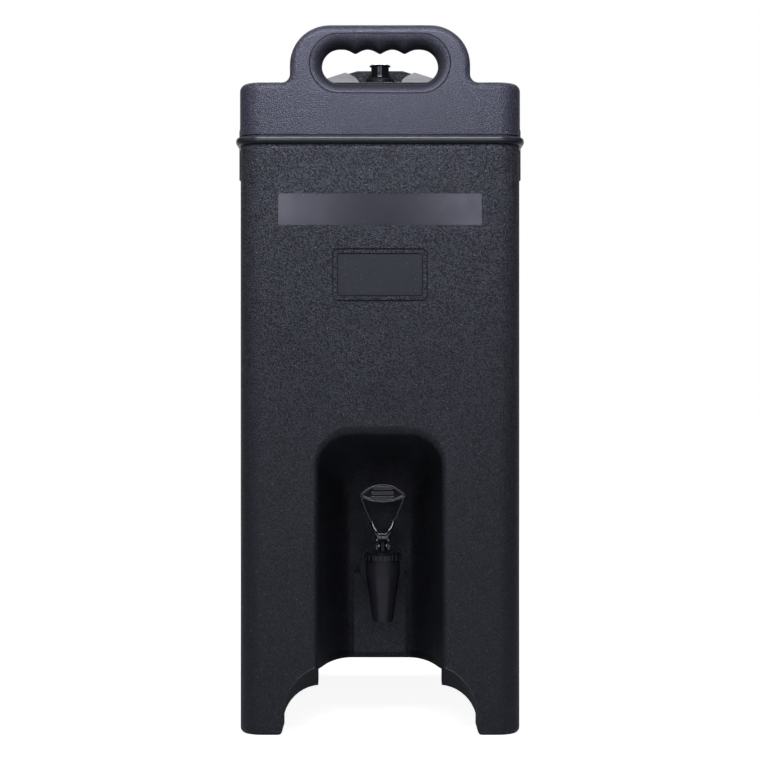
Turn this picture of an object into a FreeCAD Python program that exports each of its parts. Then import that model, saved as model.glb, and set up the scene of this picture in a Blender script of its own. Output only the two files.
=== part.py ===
import FreeCAD, Part
import math
import os
import Sketcher
from FreeCAD import Rotation, Vector

# Insulated beverage dispenser, in millimetres.
# The origin is at the middle of the footprint, on the floor. The front faces -Y and +Z is up.

SIZES = {
    # moulded body
    "body_width": 243.8,
    "body_depth": 420,
    "shoulder_top": 566.4,
    "deck_top": 545,
    "underside": 53,
    "corner_radius": 20,
    "edge_round": 7,
    "foot_round": 5,
    "skin": 4,
    "end_thickness": 38,
    "band_step": 0.55,
    "bead_height": 515.9,
    "bead_thickness": 7.1,
    "bead_proud": 3.4,
    # carrying handles
    "handle_top": 616,
    "handle_width": 156.6,
    "handle_corner": 34.7,
    "handle_foot_round": 7,
    "grip_width": 101.6,
    "grip_low": 566,
    "grip_high": 597.5,
    "grip_flare": 10.5,
    "grip_flare_depth": 14,
    "finger_pitch": 21.6,
    "finger_depth": 4.4,
    # legs
    "leg_width": 37.4,
    "leg_depth": 42,
    "leg_round": 46,
    "leg_inner_round": 34,
    "apron_front": 63.3,
    "apron_back": 42.2,
    "apron_thickness": 14,
    "side_arch": 30,
    "side_rail": 14,
    # tap recess
    "recess_width": 113.6,
    "recess_back_width": 48.8,
    "recess_depth": 112,
    "recess_top": 267.3,
    "recess_back_top": 200,
    "recess_corner": 32,
    "recess_edge": 4.5,
    "recess_wall_bend": 1.35,
    "recess_back_bend": 0.43,
    "pad_width": 47.4,
    "pad_top": 132,
    "pad_proud": 12,
    "pad_rise": 2,
    # blank badge and write-on strip
    "badge_width": 83,
    "badge_height": 46,
    "badge_middle": 399,
    "badge_border": 4.1,
    "badge_groove": 1.3,
    "badge_groove_depth": 0.8,
    "badge_corner": 5,
    "strip_width": 176.2,
    "strip_height": 27.4,
    "strip_middle": 455.7,
    "strip_thickness": 1,
    "strip_corner": 2,
    # inner tank
    "tank_side_inset": 26.5,
    "tank_end_inset": 19.5,
    "tank_wall": 3,
    "tank_floor": 108.5,
    "front_wall_through": 49,
    "tank_step_front": 330,
    "tank_step_back": 290,
    "tank_round": 8.5,
    "rim_width": 11,
    "rim_thickness": 3,
    # lid
    "lid_side_inset": 8.45,
    "lid_end_gap": 4.55,
    "lid_corner": 16,
    "lid_rim": 20.5,
    "lid_flange": 2.5,
    "lid_skirt_gap": 1,
    "lid_wall": 3.5,
    "lid_edge_round": 4,
    "gasket_thickness": 3.5,
    "gasket_width": 7,
    "gasket_gap": 2,
    "plug_gap": 3,
    "plug_drop": 22,
    "hump_width": 122,
    "hump_shoulder_width": 61,
    "hump_top_width": 44,
    "hump_shoulder": 606.5,
    "hump_top": 609,
    "hump_front": 14,
    "hump_back": 44,
    "valley_mouth": 37.8,
    "valley_width": 67.6,
    "valley_back": 18,
    "boss_radius": 14,
    "boss_top": 596.8,
    "vent_bore": 7,
    # vent cap
    "vent_seal_thickness": 1.4,
    "vent_base_radius": 11.4,
    "vent_neck_radius": 8.9,
    "vent_cap_radius": 10.2,
    "vent_cap_height": 14.6,
    "vent_stem": 18,
    "vent_clearance": 0.3,
    # tap
    "tap_out": 57,
    "tap_side": 2.4,
    "shank_height": 138,
    "shank_radius": 9,
    "shank_bore": 5.5,
    "flange_radius": 20.5,
    "flange_thickness": 4,
    "washer_radius": 17,
    "washer_thickness": 3,
    "nut_radius": 17,
    "nut_thickness": 9,
    "barrel_radius": 15.2,
    "barrel_top": 147.5,
    "barrel_low": 134,
    "spout_low": 92.5,
    "spout_radius": 8.8,
    "spout_bore": 6.5,
    "seat_drop": 20.5,
    "chamber_radius": 11.5,
    "cup_clearance": 0.5,
    "cup_headroom": 5,
    "bonnet_radius": 16.6,
    "bonnet_top": 154.5,
    "bonnet_plug": 4.5,
    "bonnet_knurl": 0.8,
    "stem_radius": 3.2,
    "stem_top": 163.4,
    "slide_clearance": 0.1,
    "pivot_height": 160,
    "pivot_radius": 1.5,
    "pivot_clearance": 0.05,
    "fork_width": 13.4,
    "fork_gap": 7.6,
    "fork_depth": 12,
    "cam_gap": 0.3,
    "yoke_width": 16,
    "yoke_bottom": 167,
    "yoke_top": 176,
    "arm_width": 4.5,
    "arm_depth": 5,
    "head_width": 43.2,
    "head_top": 216,
    "head_ends": 204,
    "head_bottom": 198,
    "head_depth": 7,
    "head_rim": 1.6,
    "head_rim_proud": 1.2,
    # latches
    "latch_place": 60,
    "latch_width": 44,
    "latch_pocket": 2.5,
    "latch_boss": 12,
    "latch_base_low": 522.5,
    "latch_pivot_height": 538,
    "latch_pivot_out": 3.1,
    "latch_pin_radius": 1.9,
    "latch_throw": 9,
    "latch_bar_radius": 1.7,
    "latch_clearance": 0.05,
    "latch_plate": 1.7,
    "latch_plate_gap": 3.1,
    "latch_edge_round": 0.6,
    "latch_ear": 3,
    "latch_cheek": 2.5,
    "latch_side_gap": 0.5,
    "latch_lever_low": 493,
    "hook_thickness": 2.4,
    "hook_tip": 3,
    "hook_side_gap": 0.3,
    "keeper_out": 5,
    "keeper_height": 8,
    "keeper_low": 558,
    "keeper_gap": 0.3,
    "screw_radius": 1.75,
    "screw_head": 3,
    "screw_length": 9,
    "screw_spacing": 16,
    "screw_drop": 4,
}

SIDES = (-1, 1)

doc = FreeCAD.newDocument("beverage_dispenser")
sheet = doc.addObject("Spreadsheet::Sheet", "Sizes")
for row, (alias, amount) in enumerate(SIZES.items(), start=1):
    sheet.set(f"A{row}", alias)
    sheet.set(f"B{row}", str(amount))
    sheet.setAlias(f"B{row}", alias)
doc.recompute()


class Size:
    """A length worked out from the sheet: its value, and the expression that gives it."""

    def __init__(self, value, text):
        self.value = value
        self.text = text

    def _with(self, other, sign, value):
        return Size(value, f"({self.text} {sign} {text_of(other)})")

    def __add__(self, other):
        return self._with(other, "+", self.value + float(other))

    def __sub__(self, other):
        return self._with(other, "-", self.value - float(other))

    def __mul__(self, other):
        return self._with(other, "*", self.value * float(other))

    def __truediv__(self, other):
        return self._with(other, "/", self.value / float(other))

    def __radd__(self, other):
        return self + other

    def __rsub__(self, other):
        return Size(float(other) - self.value, f"({other} - {self.text})")

    def __rmul__(self, other):
        return self * other

    def __neg__(self):
        return self * -1

    def __float__(self):
        return float(self.value)


class Sheet:
    """The sheet's cells as sizes, by alias."""

    def __getattr__(self, alias):
        return Size(float(sheet.get(alias)), f"Sizes.{alias}")


S = Sheet()


def text_of(amount):
    return amount.text if isinstance(amount, Size) else repr(float(amount))


def bind(target, path, amount):
    """Ties a property to the sheet, or sets it where it is a plain number."""
    target.setExpression(path, text_of(amount))


def place(piece, x=0, y=0, z=0, axis=None, angle=0):
    if axis is not None:
        piece.Placement = FreeCAD.Placement(Vector(0, 0, 0), Rotation(Vector(*axis), angle))
    for letter, amount in zip("xyz", (x, y, z)):
        if isinstance(amount, Size) or amount:
            bind(piece, f"Placement.Base.{letter}", amount)
    return piece


def box(name, low, high):
    """A box between two corners."""
    made = doc.addObject("Part::Box", name)
    for side, a, b in zip(("Length", "Width", "Height"), low, high):
        bind(made, side, b - a if isinstance(b, Size) else -(a - b))
    return place(made, *low)


UP, RIGHT, BACK = None, (0, 1, 0), (1, 0, 0)


def rod(name, radius, length, x=0, y=0, z=0, along=UP):
    """A cylinder that starts at a point and runs along +Z, +X (RIGHT) or +Y (BACK)."""
    made = doc.addObject("Part::Cylinder", name)
    bind(made, "Radius", radius)
    bind(made, "Height", length)
    angle = -90 if along is BACK else 90
    return place(made, x, y, z, along, angle)


def cone(name, low_radius, high_radius, length, x=0, y=0, z=0, along=UP):
    made = doc.addObject("Part::Cone", name)
    bind(made, "Radius1", low_radius)
    bind(made, "Radius2", high_radius)
    bind(made, "Height", length)
    angle = -90 if along is BACK else 90
    return place(made, x, y, z, along, angle)


def fuse(name, *pieces):
    made = doc.addObject("Part::MultiFuse", name)
    made.Shapes = list(pieces)
    made.Refine = True
    return made


def common(name, first, second):
    made = doc.addObject("Part::MultiCommon", name)
    made.Shapes = [first, second]
    return made


def cut(name, base, *tools):
    tool = tools[0] if len(tools) == 1 else fuse(name + "_tools", *tools)
    made = doc.addObject("Part::Cut", name)
    made.Base = base
    made.Tool = tool
    made.Refine = True
    return made


def formed(name, shape):
    """A shape that Part's own functions make from the sheet's sizes."""
    made = doc.addObject("Part::Feature", name)
    made.Shape = shape
    return made


def fillet(name, base, radius, chosen):
    """Rounds the edges of base that chosen(edge) picks."""
    doc.recompute()
    made = doc.addObject("Part::Fillet", name)
    made.Base = base
    picked = [number for number, edge in enumerate(base.Shape.Edges, start=1) if chosen(edge)]
    made.Edges = [(number, float(radius), float(radius)) for number in picked]
    return made


def is_along(edge, axis):
    """Whether a straight edge runs along an axis."""
    if edge.Curve.TypeId != "Part::GeomLine":
        return False
    return abs(abs(edge.Curve.Direction.dot(Vector(*axis))) - 1) < 1e-6


def middle(edge):
    return edge.valueAt((edge.FirstParameter + edge.LastParameter) / 2)


def near(value, target, slack=0.01):
    return abs(value - float(target)) < slack


def outline_body(name, role, points, start, length, turned=False):
    """A body padded from a straight-sided outline on one of its origin planes."""
    body = doc.addObject("PartDesign::Body", name)
    drawn = body.newObject("Sketcher::SketchObject", name + "_outline")
    plane = next(item for item in body.Origin.OriginFeatures if item.Role == role)
    drawn.AttachmentSupport = [(plane, "")]
    drawn.MapMode = "FlatFace"
    count = len(points)
    spots = [Vector(float(a), float(b), 0) for a, b in points]
    for index in range(count):
        drawn.addGeometry(Part.LineSegment(spots[index], spots[(index + 1) % count]))
    for index in range(count):
        drawn.addConstraint(Sketcher.Constraint("Coincident", index, 2, (index + 1) % count, 1))
    for index, (across, up) in enumerate(points):
        for kind, amount in (("DistanceX", across), ("DistanceY", up)):
            rule = Sketcher.Constraint(kind, -1, 1, index, 1, float(amount))
            number = drawn.addConstraint(rule)
            drawn.setExpression(f"Constraints[{number}]", text_of(amount))
    if turned:
        turn = body.newObject("PartDesign::Revolution", name + "_turn")
        turn.Profile = drawn
        turn.ReferenceAxis = (drawn, ["V_Axis"])
        turn.Angle = 360
        body.Tip = turn
        return body
    pad = body.newObject("PartDesign::Pad", name + "_pad")
    pad.Profile = drawn
    pad.Reversed = role == "XZ_Plane"
    bind(pad, "Length", length)
    body.Tip = pad
    axis = {"XY_Plane": "z", "XZ_Plane": "y", "YZ_Plane": "x"}[role]
    bind(body, f"Placement.Base.{axis}", start)
    return body


def rounded_block(name, width, depth, low, height, radius):
    """An upright block about the Z axis with rounded corners."""
    corners = [(-width / 2, -depth / 2), (width / 2, -depth / 2)]
    corners += [(width / 2, depth / 2), (-width / 2, depth / 2)]
    body = outline_body(name, "XY_Plane", corners, low, height)
    doc.recompute()
    pad = body.Tip
    upright = [
        f"Edge{number}"
        for number, edge in enumerate(pad.Shape.Edges, start=1)
        if is_along(edge, (0, 0, 1))
    ]
    rounding = body.newObject("PartDesign::Fillet", name + "_corners")
    rounding.Base = (pad, upright)
    bind(rounding, "Radius", radius)
    body.Tip = rounding
    return body


def turned_body(name, points, x=0, y=0, z=0):
    """A body turned about the upright axis from (radius, height) points."""
    body = outline_body(name, "XZ_Plane", points, 0, 0, turned=True)
    return place(body, x, y, z)


FRONT = -(S.body_depth / 2)
BAND_WIDTH = S.body_width + S.band_step * 2
BAND_DEPTH = S.body_depth + S.band_step * 2
PAD_FACE = FRONT + S.recess_depth - S.pad_proud
LID_WIDTH = BAND_WIDTH - S.lid_side_inset * 2
LID_DEPTH = BAND_DEPTH - (S.end_thickness + S.lid_end_gap) * 2
TANK_WIDTH = LID_WIDTH - S.tank_side_inset * 2
TANK_DEPTH = LID_DEPTH - S.tank_end_inset * 2
TANK_FRONT = -(PAD_FACE + S.front_wall_through)
SEAT_HEIGHT = S.barrel_top - S.seat_drop
CUP_HEIGHT = S.seat_drop - S.bonnet_plug - S.cup_headroom
TANK_RIM = S.deck_top + S.rim_thickness
LID_LOW = TANK_RIM + S.gasket_thickness
LID_TOP = LID_LOW + S.lid_rim
LATCH_FLOOR = BAND_WIDTH / 2 - S.latch_pocket
SCREW_HEIGHT = S.deck_top - S.screw_drop
HOOK_HALF = S.latch_width / 2 - S.latch_side_gap * 2 - S.latch_cheek - S.latch_ear - S.hook_side_gap
PAST = 10.0


# moulded body


def arch_wire(y, half, low, top, corner):
    """An arch on an upright plane: a box whose two upper corners are round."""
    bend = corner * 0.70710678
    left_bend = Vector(-half + corner - bend, y, top - corner + bend)
    right_bend = Vector(half - corner + bend, y, top - corner + bend)
    a, b = Vector(-half, y, low), Vector(-half, y, top - corner)
    c, d = Vector(-half + corner, y, top), Vector(half - corner, y, top)
    e, f = Vector(half, y, top - corner), Vector(half, y, low)
    edges = [
        Part.LineSegment(a, b).toShape(),
        Part.Arc(b, left_bend, c).toShape(),
        Part.LineSegment(c, d).toShape(),
        Part.Arc(d, right_bend, e).toShape(),
        Part.LineSegment(e, f).toShape(),
        Part.LineSegment(f, a).toShape(),
    ]
    return Part.Wire(edges)


def recess_form(grow=0.0):
    """The space of the tap recess, wider by grow on every wall: it narrows towards a flat back.

    Of its narrowing, the share left at a share of the depth is (1 - depth ** wall) ** back.
    """
    front = float(FRONT)
    width, back_width = float(S.recess_width) / 2, float(S.recess_back_width) / 2
    depth, corner = float(S.recess_depth), float(S.recess_corner)
    top, back_top = float(S.recess_top), float(S.recess_back_top)
    wall_bend, back_bend = float(S.recess_wall_bend), float(S.recess_back_bend)
    low = -float(S.foot_round) - PAST
    wires = [arch_wire(front - PAST, width + grow, low, top + grow, corner)]
    for left in (1.0, 0.95, 0.87, 0.76, 0.64, 0.5, 0.36, 0.22, 0.1, 0.0):
        reached = (1 - left ** (1 / back_bend)) ** (1 / wall_bend)
        half = back_width + (width - back_width) * left + grow
        ceiling = back_top + (top - back_top) * left + grow
        round_off = min(corner, half * 0.6)
        wires.append(arch_wire(front + (depth + grow) * reached, half, low, ceiling, round_off))
    return Part.makeLoft(wires[1:], True, False).fuse(Part.makeLoft(wires[:2], True, True))


def foot_arch(end):
    """The arch between two legs: its edge slopes inwards, so that it is smaller inside."""
    outside = float(S.body_depth) / 2
    inside = outside - float(S.apron_thickness)
    half = float(S.body_width) / 2 - float(S.leg_width)
    low = -float(S.foot_round)
    outer = arch_wire(end * outside, half, low, float(S.apron_front), float(S.leg_round))
    inner = arch_wire(end * inside, half, low, float(S.apron_back), float(S.leg_inner_round))
    return Part.makeLoft([outer, inner], True, True)


def grip_wire(y, grow, blend):
    """The grip hole's outline: round ends, a flat bottom and four finger places along the top."""
    low = float(S.grip_low) - grow
    high = float(S.grip_high) + grow
    end_radius = (high - low) / 2
    centre = float(S.grip_width) / 2 + grow - end_radius
    pitch, dip = float(S.finger_pitch), float(S.finger_depth) * blend
    middle_z = (low + high) / 2
    soft = 0.12
    steps = 34

    def top(x):
        if abs(x) > pitch * 1.5:
            return high
        ripple = math.hypot(math.sin(math.pi * x / pitch), soft) / math.hypot(1, soft)
        return high - dip * (1 - ripple)

    places = [centre * (2 * step / steps - 1) for step in range(steps + 1)]
    tops = [Vector(x, y, top(x)) for x in places]
    fingers = Part.BSplineCurve()
    fingers.interpolate(tops, InitialTangent=Vector(1, 0, 0), FinalTangent=Vector(1, 0, 0))
    start, finish = Vector(-centre, y, low), Vector(centre, y, low)
    left, right = (Vector(side * (centre + end_radius), y, middle_z) for side in SIDES)
    return Part.Wire(
        [
            Part.Arc(start, left, tops[0]).toShape(),
            fingers.toShape(),
            Part.Arc(tops[-1], right, finish).toShape(),
            Part.LineSegment(finish, start).toShape(),
        ]
    )


def grip_hole(end):
    """The hole through a handle: finger places inside, flared to a plain rounded mouth each side."""
    outer = float(BAND_DEPTH) / 2
    inner = outer - float(S.end_thickness)
    flare, depth = float(S.grip_flare), float(S.grip_flare_depth)
    crease = math.radians(80)
    turns = [crease * share for share in (1, 0.87, 0.74, 0.61, 0.48, 0.35, 0.21, 0.08, 0)]
    shares = []
    for turn in turns:
        opened = (1 - math.cos(turn)) / (1 - math.cos(crease))
        sunk = 1 - math.sin(turn) / math.sin(crease)
        shares.append((opened, sunk))
    wires = [grip_wire(end * (outer + 1), flare, 0)]
    for opened, sunk in shares:
        wires.append(grip_wire(end * (outer - depth * sunk), flare * opened, 1 - opened))
    for opened, sunk in reversed(shares):
        wires.append(grip_wire(end * (inner + depth * sunk), flare * opened, 1 - opened))
    wires.append(grip_wire(end * (inner - 1), flare, 0))
    return Part.makeLoft(wires, True, True)


def face_panel(width, height, corner, y, depth):
    """A rectangular plate with round corners, upright, with its front at y."""
    plate = Part.makeBox(width, depth, height, Vector(-width / 2, y, -height / 2))
    if corner <= 0:
        return plate
    return plate.makeFillet(corner, [edge for edge in plate.Edges if is_along(edge, (0, 1, 0))])


def badge_grooves():
    """Two fine grooves, one inside the other, that frame the blank badge."""
    y, depth = float(FRONT) - 1, float(S.badge_groove_depth) + 1
    width, height = float(S.badge_width), float(S.badge_height)
    corner, groove, border = float(S.badge_corner), float(S.badge_groove), float(S.badge_border)
    rings = []
    for inset in (0.0, border):
        outer = face_panel(width - 2 * inset, height - 2 * inset, corner - inset / 2, y, depth)
        inset += groove
        inner = face_panel(width - 2 * inset, height - 2 * inset, corner - inset / 2, y, depth)
        rings.append(outer.cut(inner))
    grooves = rings[0].fuse(rings[1])
    grooves.translate(Vector(0, 0, float(S.badge_middle)))
    return grooves


def strip_plate(name, gap):
    """The write-on strip, or with a gap the pocket that it sits in."""
    width, height = float(S.strip_width) + 2 * gap, float(S.strip_height) + 2 * gap
    corner, y = float(S.strip_corner) + gap, float(FRONT) - (1 if gap else 0)
    plate = face_panel(width, height, corner, y, float(FRONT + S.strip_thickness) - y)
    plate.translate(Vector(0, 0, float(S.strip_middle)))
    return formed(name, plate)


def plain_form():
    """The solid outside of the body before it is hollowed: block, band, shoulders and handles."""
    lower = rounded_block(
        "lower_block", S.body_width, S.body_depth, 0, S.bead_height, S.corner_radius
    )
    band = rounded_block(
        "band_block",
        BAND_WIDTH,
        BAND_DEPTH,
        S.bead_height,
        S.deck_top - S.bead_height,
        S.corner_radius + S.band_step,
    )
    upright = rounded_block(
        "upright_block",
        BAND_WIDTH,
        BAND_DEPTH,
        S.bead_height,
        S.handle_top - S.bead_height + 1,
        S.corner_radius + S.band_step,
    )
    ends = []
    outer = BAND_DEPTH / 2
    inner = outer - S.end_thickness
    for end, word in zip(SIDES, ("front", "back")):
        low_y, high_y = (inner, outer) if end > 0 else (-outer, -inner)
        shoulder = box(
            word + "_shoulder",
            (-(BAND_WIDTH / 2), low_y, S.bead_height),
            (BAND_WIDTH / 2, high_y, S.shoulder_top),
        )
        handle = box(
            word + "_handle",
            (-(S.handle_width / 2), low_y, S.bead_height),
            (S.handle_width / 2, high_y, S.handle_top),
        )
        handle = fillet(
            word + "_handle_corners",
            handle,
            S.handle_corner,
            lambda edge: is_along(edge, (0, 1, 0)) and near(edge.BoundBox.ZMax, S.handle_top),
        )
        joined = fillet(
            word + "_handle_feet",
            fuse(word + "_end", shoulder, handle),
            S.handle_foot_round,
            lambda edge: is_along(edge, (0, 1, 0))
            and near(edge.BoundBox.ZMax, S.shoulder_top)
            and near(abs(middle(edge).x), S.handle_width / 2),
        )
        ends.append(common(word + "_end_form", joined, upright))

    def is_rim(edge):
        spot = middle(edge)
        on_end = near(abs(spot.y), outer) or near(abs(spot.y), inner)
        crosswise = near(edge.BoundBox.ZLength, 0) and not is_along(edge, (0, 1, 0))
        at_side = is_along(edge, (0, 1, 0)) and near(abs(spot.x), BAND_WIDTH / 2)
        return spot.z > float(S.shoulder_top) - 0.5 and (on_end or crosswise or at_side)

    return fillet("rounded_form", fuse("joined_form", lower, band, *ends), S.edge_round, is_rim)


def bead():
    """The half-round bead round the band's foot, and the fine groove above it."""
    low = S.bead_height - S.bead_thickness / 2
    ring = rounded_block(
        "bead_block",
        BAND_WIDTH + S.bead_proud * 2,
        BAND_DEPTH + S.bead_proud * 2,
        low,
        S.bead_thickness,
        S.corner_radius + S.band_step + S.bead_proud,
    )
    ring = fillet(
        "bead", ring, S.bead_thickness * 0.42, lambda edge: near(edge.BoundBox.ZLength, 0)
    )
    grooves = []
    for name, out in (("groove_outside", 1), ("groove_inside", -S.badge_groove_depth)):
        grooves.append(
            rounded_block(
                name,
                BAND_WIDTH + out * 2,
                BAND_DEPTH + out * 2,
                low + S.bead_thickness,
                S.badge_groove,
                S.corner_radius + S.band_step + out,
            )
        )
    return ring, cut("bead_groove", *grooves)


def latch_spots():
    for side in SIDES:
        for end in SIDES:
            word = ("left_" if side < 0 else "right_") + ("front" if end < 0 else "back")
            yield word, side, end * S.latch_place


def across(side, near_x, far_x):
    """Two distances from the middle plane, in order along X on that side."""
    return (near_x, far_x) if side > 0 else (-far_x, -near_x)


def cavity():
    """The space between the outer skin and the tank, which the insulation fills."""
    low = S.underside + S.skin
    block = rounded_block(
        "cavity_block",
        S.body_width - S.skin * 2,
        S.body_depth - S.skin * 2,
        low,
        S.deck_top - S.skin - low,
        S.corner_radius - S.skin,
    )
    pad = box(
        "pad_skin",
        (-(S.pad_width / 2 + S.skin), FRONT, low - 1),
        (S.pad_width / 2 + S.skin, PAD_FACE + S.pad_proud + S.skin, S.pad_top + S.skin),
    )
    bosses = []
    for word, side, y in latch_spots():
        low_x, high_x = across(side, BAND_WIDTH / 2 - S.latch_boss, BAND_WIDTH / 2)
        bosses.append(
            box(
                "latch_boss_" + word,
                (low_x, y - S.latch_width / 2, S.latch_base_low - S.skin),
                (high_x, y + S.latch_width / 2, S.deck_top),
            )
        )
    return cut("cavity", block, formed("recess_skin", recess_form(float(S.skin))), pad, *bosses)


def tank_block(name, grow):
    """The tank's stepped shape, seen from the side, with its step over the tap recess."""
    front, back = -(TANK_FRONT + grow), TANK_DEPTH / 2 + grow
    upper = -(TANK_DEPTH / 2 + grow)
    top = S.deck_top if grow else TANK_RIM + 1
    points = [
        (front, S.tank_floor - grow),
        (back, S.tank_floor - grow),
        (back, top),
        (upper, top),
        (upper, S.tank_step_front - grow),
        (front, S.tank_step_back - grow),
    ]
    half = TANK_WIDTH / 2 + grow
    block = outline_body(name + "_block", "YZ_Plane", points, -half, half * 2)
    radius = S.tank_round + grow - S.tank_wall
    return fillet(name, block, radius, lambda edge: not near(edge.BoundBox.ZMin, top))


def body_pieces():
    """The outer shell, the tank inside it, the insulation between them and the write-on strip."""
    ring, ring_groove = bead()
    half_depth = S.body_depth / 2
    recess = formed("recess", recess_form())
    mouth = float(S.recess_width) / 2 + 0.1
    opened = fillet(
        "opened_form",
        cut("recessed_form", plain_form(), recess),
        S.recess_edge,
        lambda edge: near(edge.BoundBox.YMax, FRONT)
        and near(edge.BoundBox.YMin, FRONT)
        and abs(middle(edge).x) < mouth
        and 1 < middle(edge).z < float(S.recess_top) + 1,
    )
    inner_y = half_depth - S.leg_depth
    rail = S.body_width / 2 - S.side_rail
    underside = box("underside", (-rail, -inner_y, -S.skin), (rail, inner_y, S.underside))
    leg_gap = S.body_width / 2 - S.leg_width
    apron_y = half_depth - S.apron_thickness
    between = box("between_legs", (-leg_gap, -apron_y, -S.skin), (leg_gap, apron_y, S.underside))
    arch_width = S.body_width / 2 + S.skin
    side_arch = fillet(
        "side_arch",
        box("side_arch_box", (-arch_width, -inner_y, -S.side_arch), (arch_width, inner_y, S.side_arch)),
        S.side_arch * 0.66,
        lambda edge: is_along(edge, (1, 0, 0)) and near(edge.BoundBox.ZMax, S.side_arch),
    )
    arches = [
        formed(word + "_arch", foot_arch(end)) for end, word in zip(SIDES, ("front", "back"))
    ]
    standing = fillet(
        "standing_form",
        cut("legged_form", opened, underside, between, side_arch, *arches),
        S.foot_round,
        lambda edge: near(edge.BoundBox.ZMax, 0),
    )
    pad = box(
        "tap_pad",
        (-(S.pad_width / 2), PAD_FACE, S.underside + S.pad_rise),
        (S.pad_width / 2, PAD_FACE + S.pad_proud + S.skin, S.pad_top),
    )
    solid = fuse("solid_form", standing, ring, pad)

    hollow = cavity()
    tank_outside = tank_block("tank_outside", S.tank_wall)
    shank_hole = rod(
        "shank_hole",
        S.shank_radius + S.slide_clearance,
        -FRONT - TANK_FRONT + S.skin,
        S.tap_side,
        FRONT,
        S.shank_height,
        BACK,
    )
    pockets = []
    for word, side, y in latch_spots():
        low_x, high_x = across(side, LATCH_FLOOR, BAND_WIDTH / 2 + S.bead_proud)
        pockets.append(
            box(
                "latch_pocket_" + word,
                (low_x, y - S.latch_width / 2, S.bead_height + S.bead_thickness / 2),
                (high_x, y + S.latch_width / 2, S.deck_top + 1),
            )
        )
    holes = [formed("front_grip_hole", grip_hole(-1)), formed("back_grip_hole", grip_hole(1))]
    shell = cut(
        "outer_shell",
        solid,
        hollow,
        tank_outside,
        shank_hole,
        ring_groove,
        formed("badge_grooves", badge_grooves()),
        strip_plate("strip_pocket", 0.1),
        screw_tools("shell_screw_holes", 0.0),
        *pockets,
        *holes,
    )
    rim = rounded_block(
        "tank_rim",
        TANK_WIDTH + S.rim_width * 2,
        TANK_DEPTH + S.rim_width * 2,
        S.deck_top,
        S.rim_thickness,
        S.tank_round + S.rim_width,
    )
    tank = cut(
        "inner_tank", fuse("tank_form", tank_outside, rim), tank_block("tank_inside", 0), shank_hole
    )
    spacer_outside = rod(
        "spacer_outside",
        S.shank_radius + S.tank_wall,
        -(TANK_FRONT + S.tank_wall) - PAD_FACE - S.pad_proud - S.skin,
        S.tap_side,
        PAD_FACE + S.pad_proud + S.skin,
        S.shank_height,
        BACK,
    )
    foam = cut("foam_insulation", hollow, tank_outside, spacer_outside)
    spacer = cut("shank_spacer", spacer_outside, shank_hole)
    strip = strip_plate("label_strip", 0)
    return [shell, tank, foam, spacer, strip]


# lid


def hump_form(narrower=0.0):
    """The raised middle of the lid: a long slope in front, a short one behind, and steep sides."""
    rim_top, shoulder, top = (float(x) for x in (LID_TOP, S.hump_shoulder, S.hump_top))
    front, back = float(S.hump_front), float(S.hump_back)
    end = float(LID_DEPTH) / 2 - float(S.lid_edge_round) * 1.8

    def ring(half, z):
        risen = (z - rim_top) / (top - rim_top)
        low_y, high_y = -end + (front + end) * risen, end + (back - end) * risen
        corners = [(-half, low_y), (half, low_y), (half, high_y), (-half, high_y), (-half, low_y)]
        return Part.makePolygon([Vector(x, y, z) for x, y in corners])

    foot = float(S.hump_width) / 2 - narrower
    side = float(S.hump_shoulder_width) / 2 - narrower
    steep = (foot - side) / (shoulder - rim_top)
    sunk = 0.6
    rings = [
        ring(foot + steep * sunk, rim_top - sunk),
        ring(side, shoulder),
        ring(float(S.hump_top_width) / 2 - narrower, top),
    ]
    lower = Part.makeLoft(rings[:2], True, True)
    return lower.fuse(Part.makeLoft(rings[1:], True, True)).removeSplitter()


def valley_form(wall=0.0):
    """The valley from the lid's front edge to the vent, wider towards the vent, or its walls."""
    mouth, wide = float(S.valley_mouth) / 2 + wall, float(S.valley_width) / 2 + wall
    start, widest = -float(LID_DEPTH) / 2, -float(S.boss_radius)
    back = float(S.valley_back) + wall
    points = []
    for step in range(7):
        reached = step / 6
        x = mouth + (wide - mouth) * reached**2
        points.append(Vector(x, start + (widest - start) * reached, float(LID_TOP)))
    right = Part.BSplineCurve()
    right.interpolate(points)
    left = Part.BSplineCurve()
    left.interpolate([Vector(-spot.x, spot.y, spot.z) for spot in points])
    corners = [
        points[-1],
        Vector(wide, back, points[0].z),
        Vector(-wide, back, points[0].z),
        Vector(-points[-1].x, points[-1].y, points[0].z),
    ]
    edges = [right.toShape(), left.toShape()]
    edges += [Part.LineSegment(a, b).toShape() for a, b in zip(corners, corners[1:])]
    edges.append(Part.LineSegment(points[0], Vector(-mouth, start, points[0].z)).toShape())
    face = Part.Face(Part.Wire(Part.__sortEdges__(edges)))
    face.translate(Vector(0, 0, -wall))
    return face.extrude(Vector(0, 0, float(S.hump_top - LID_TOP) + 5 + wall))


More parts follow.
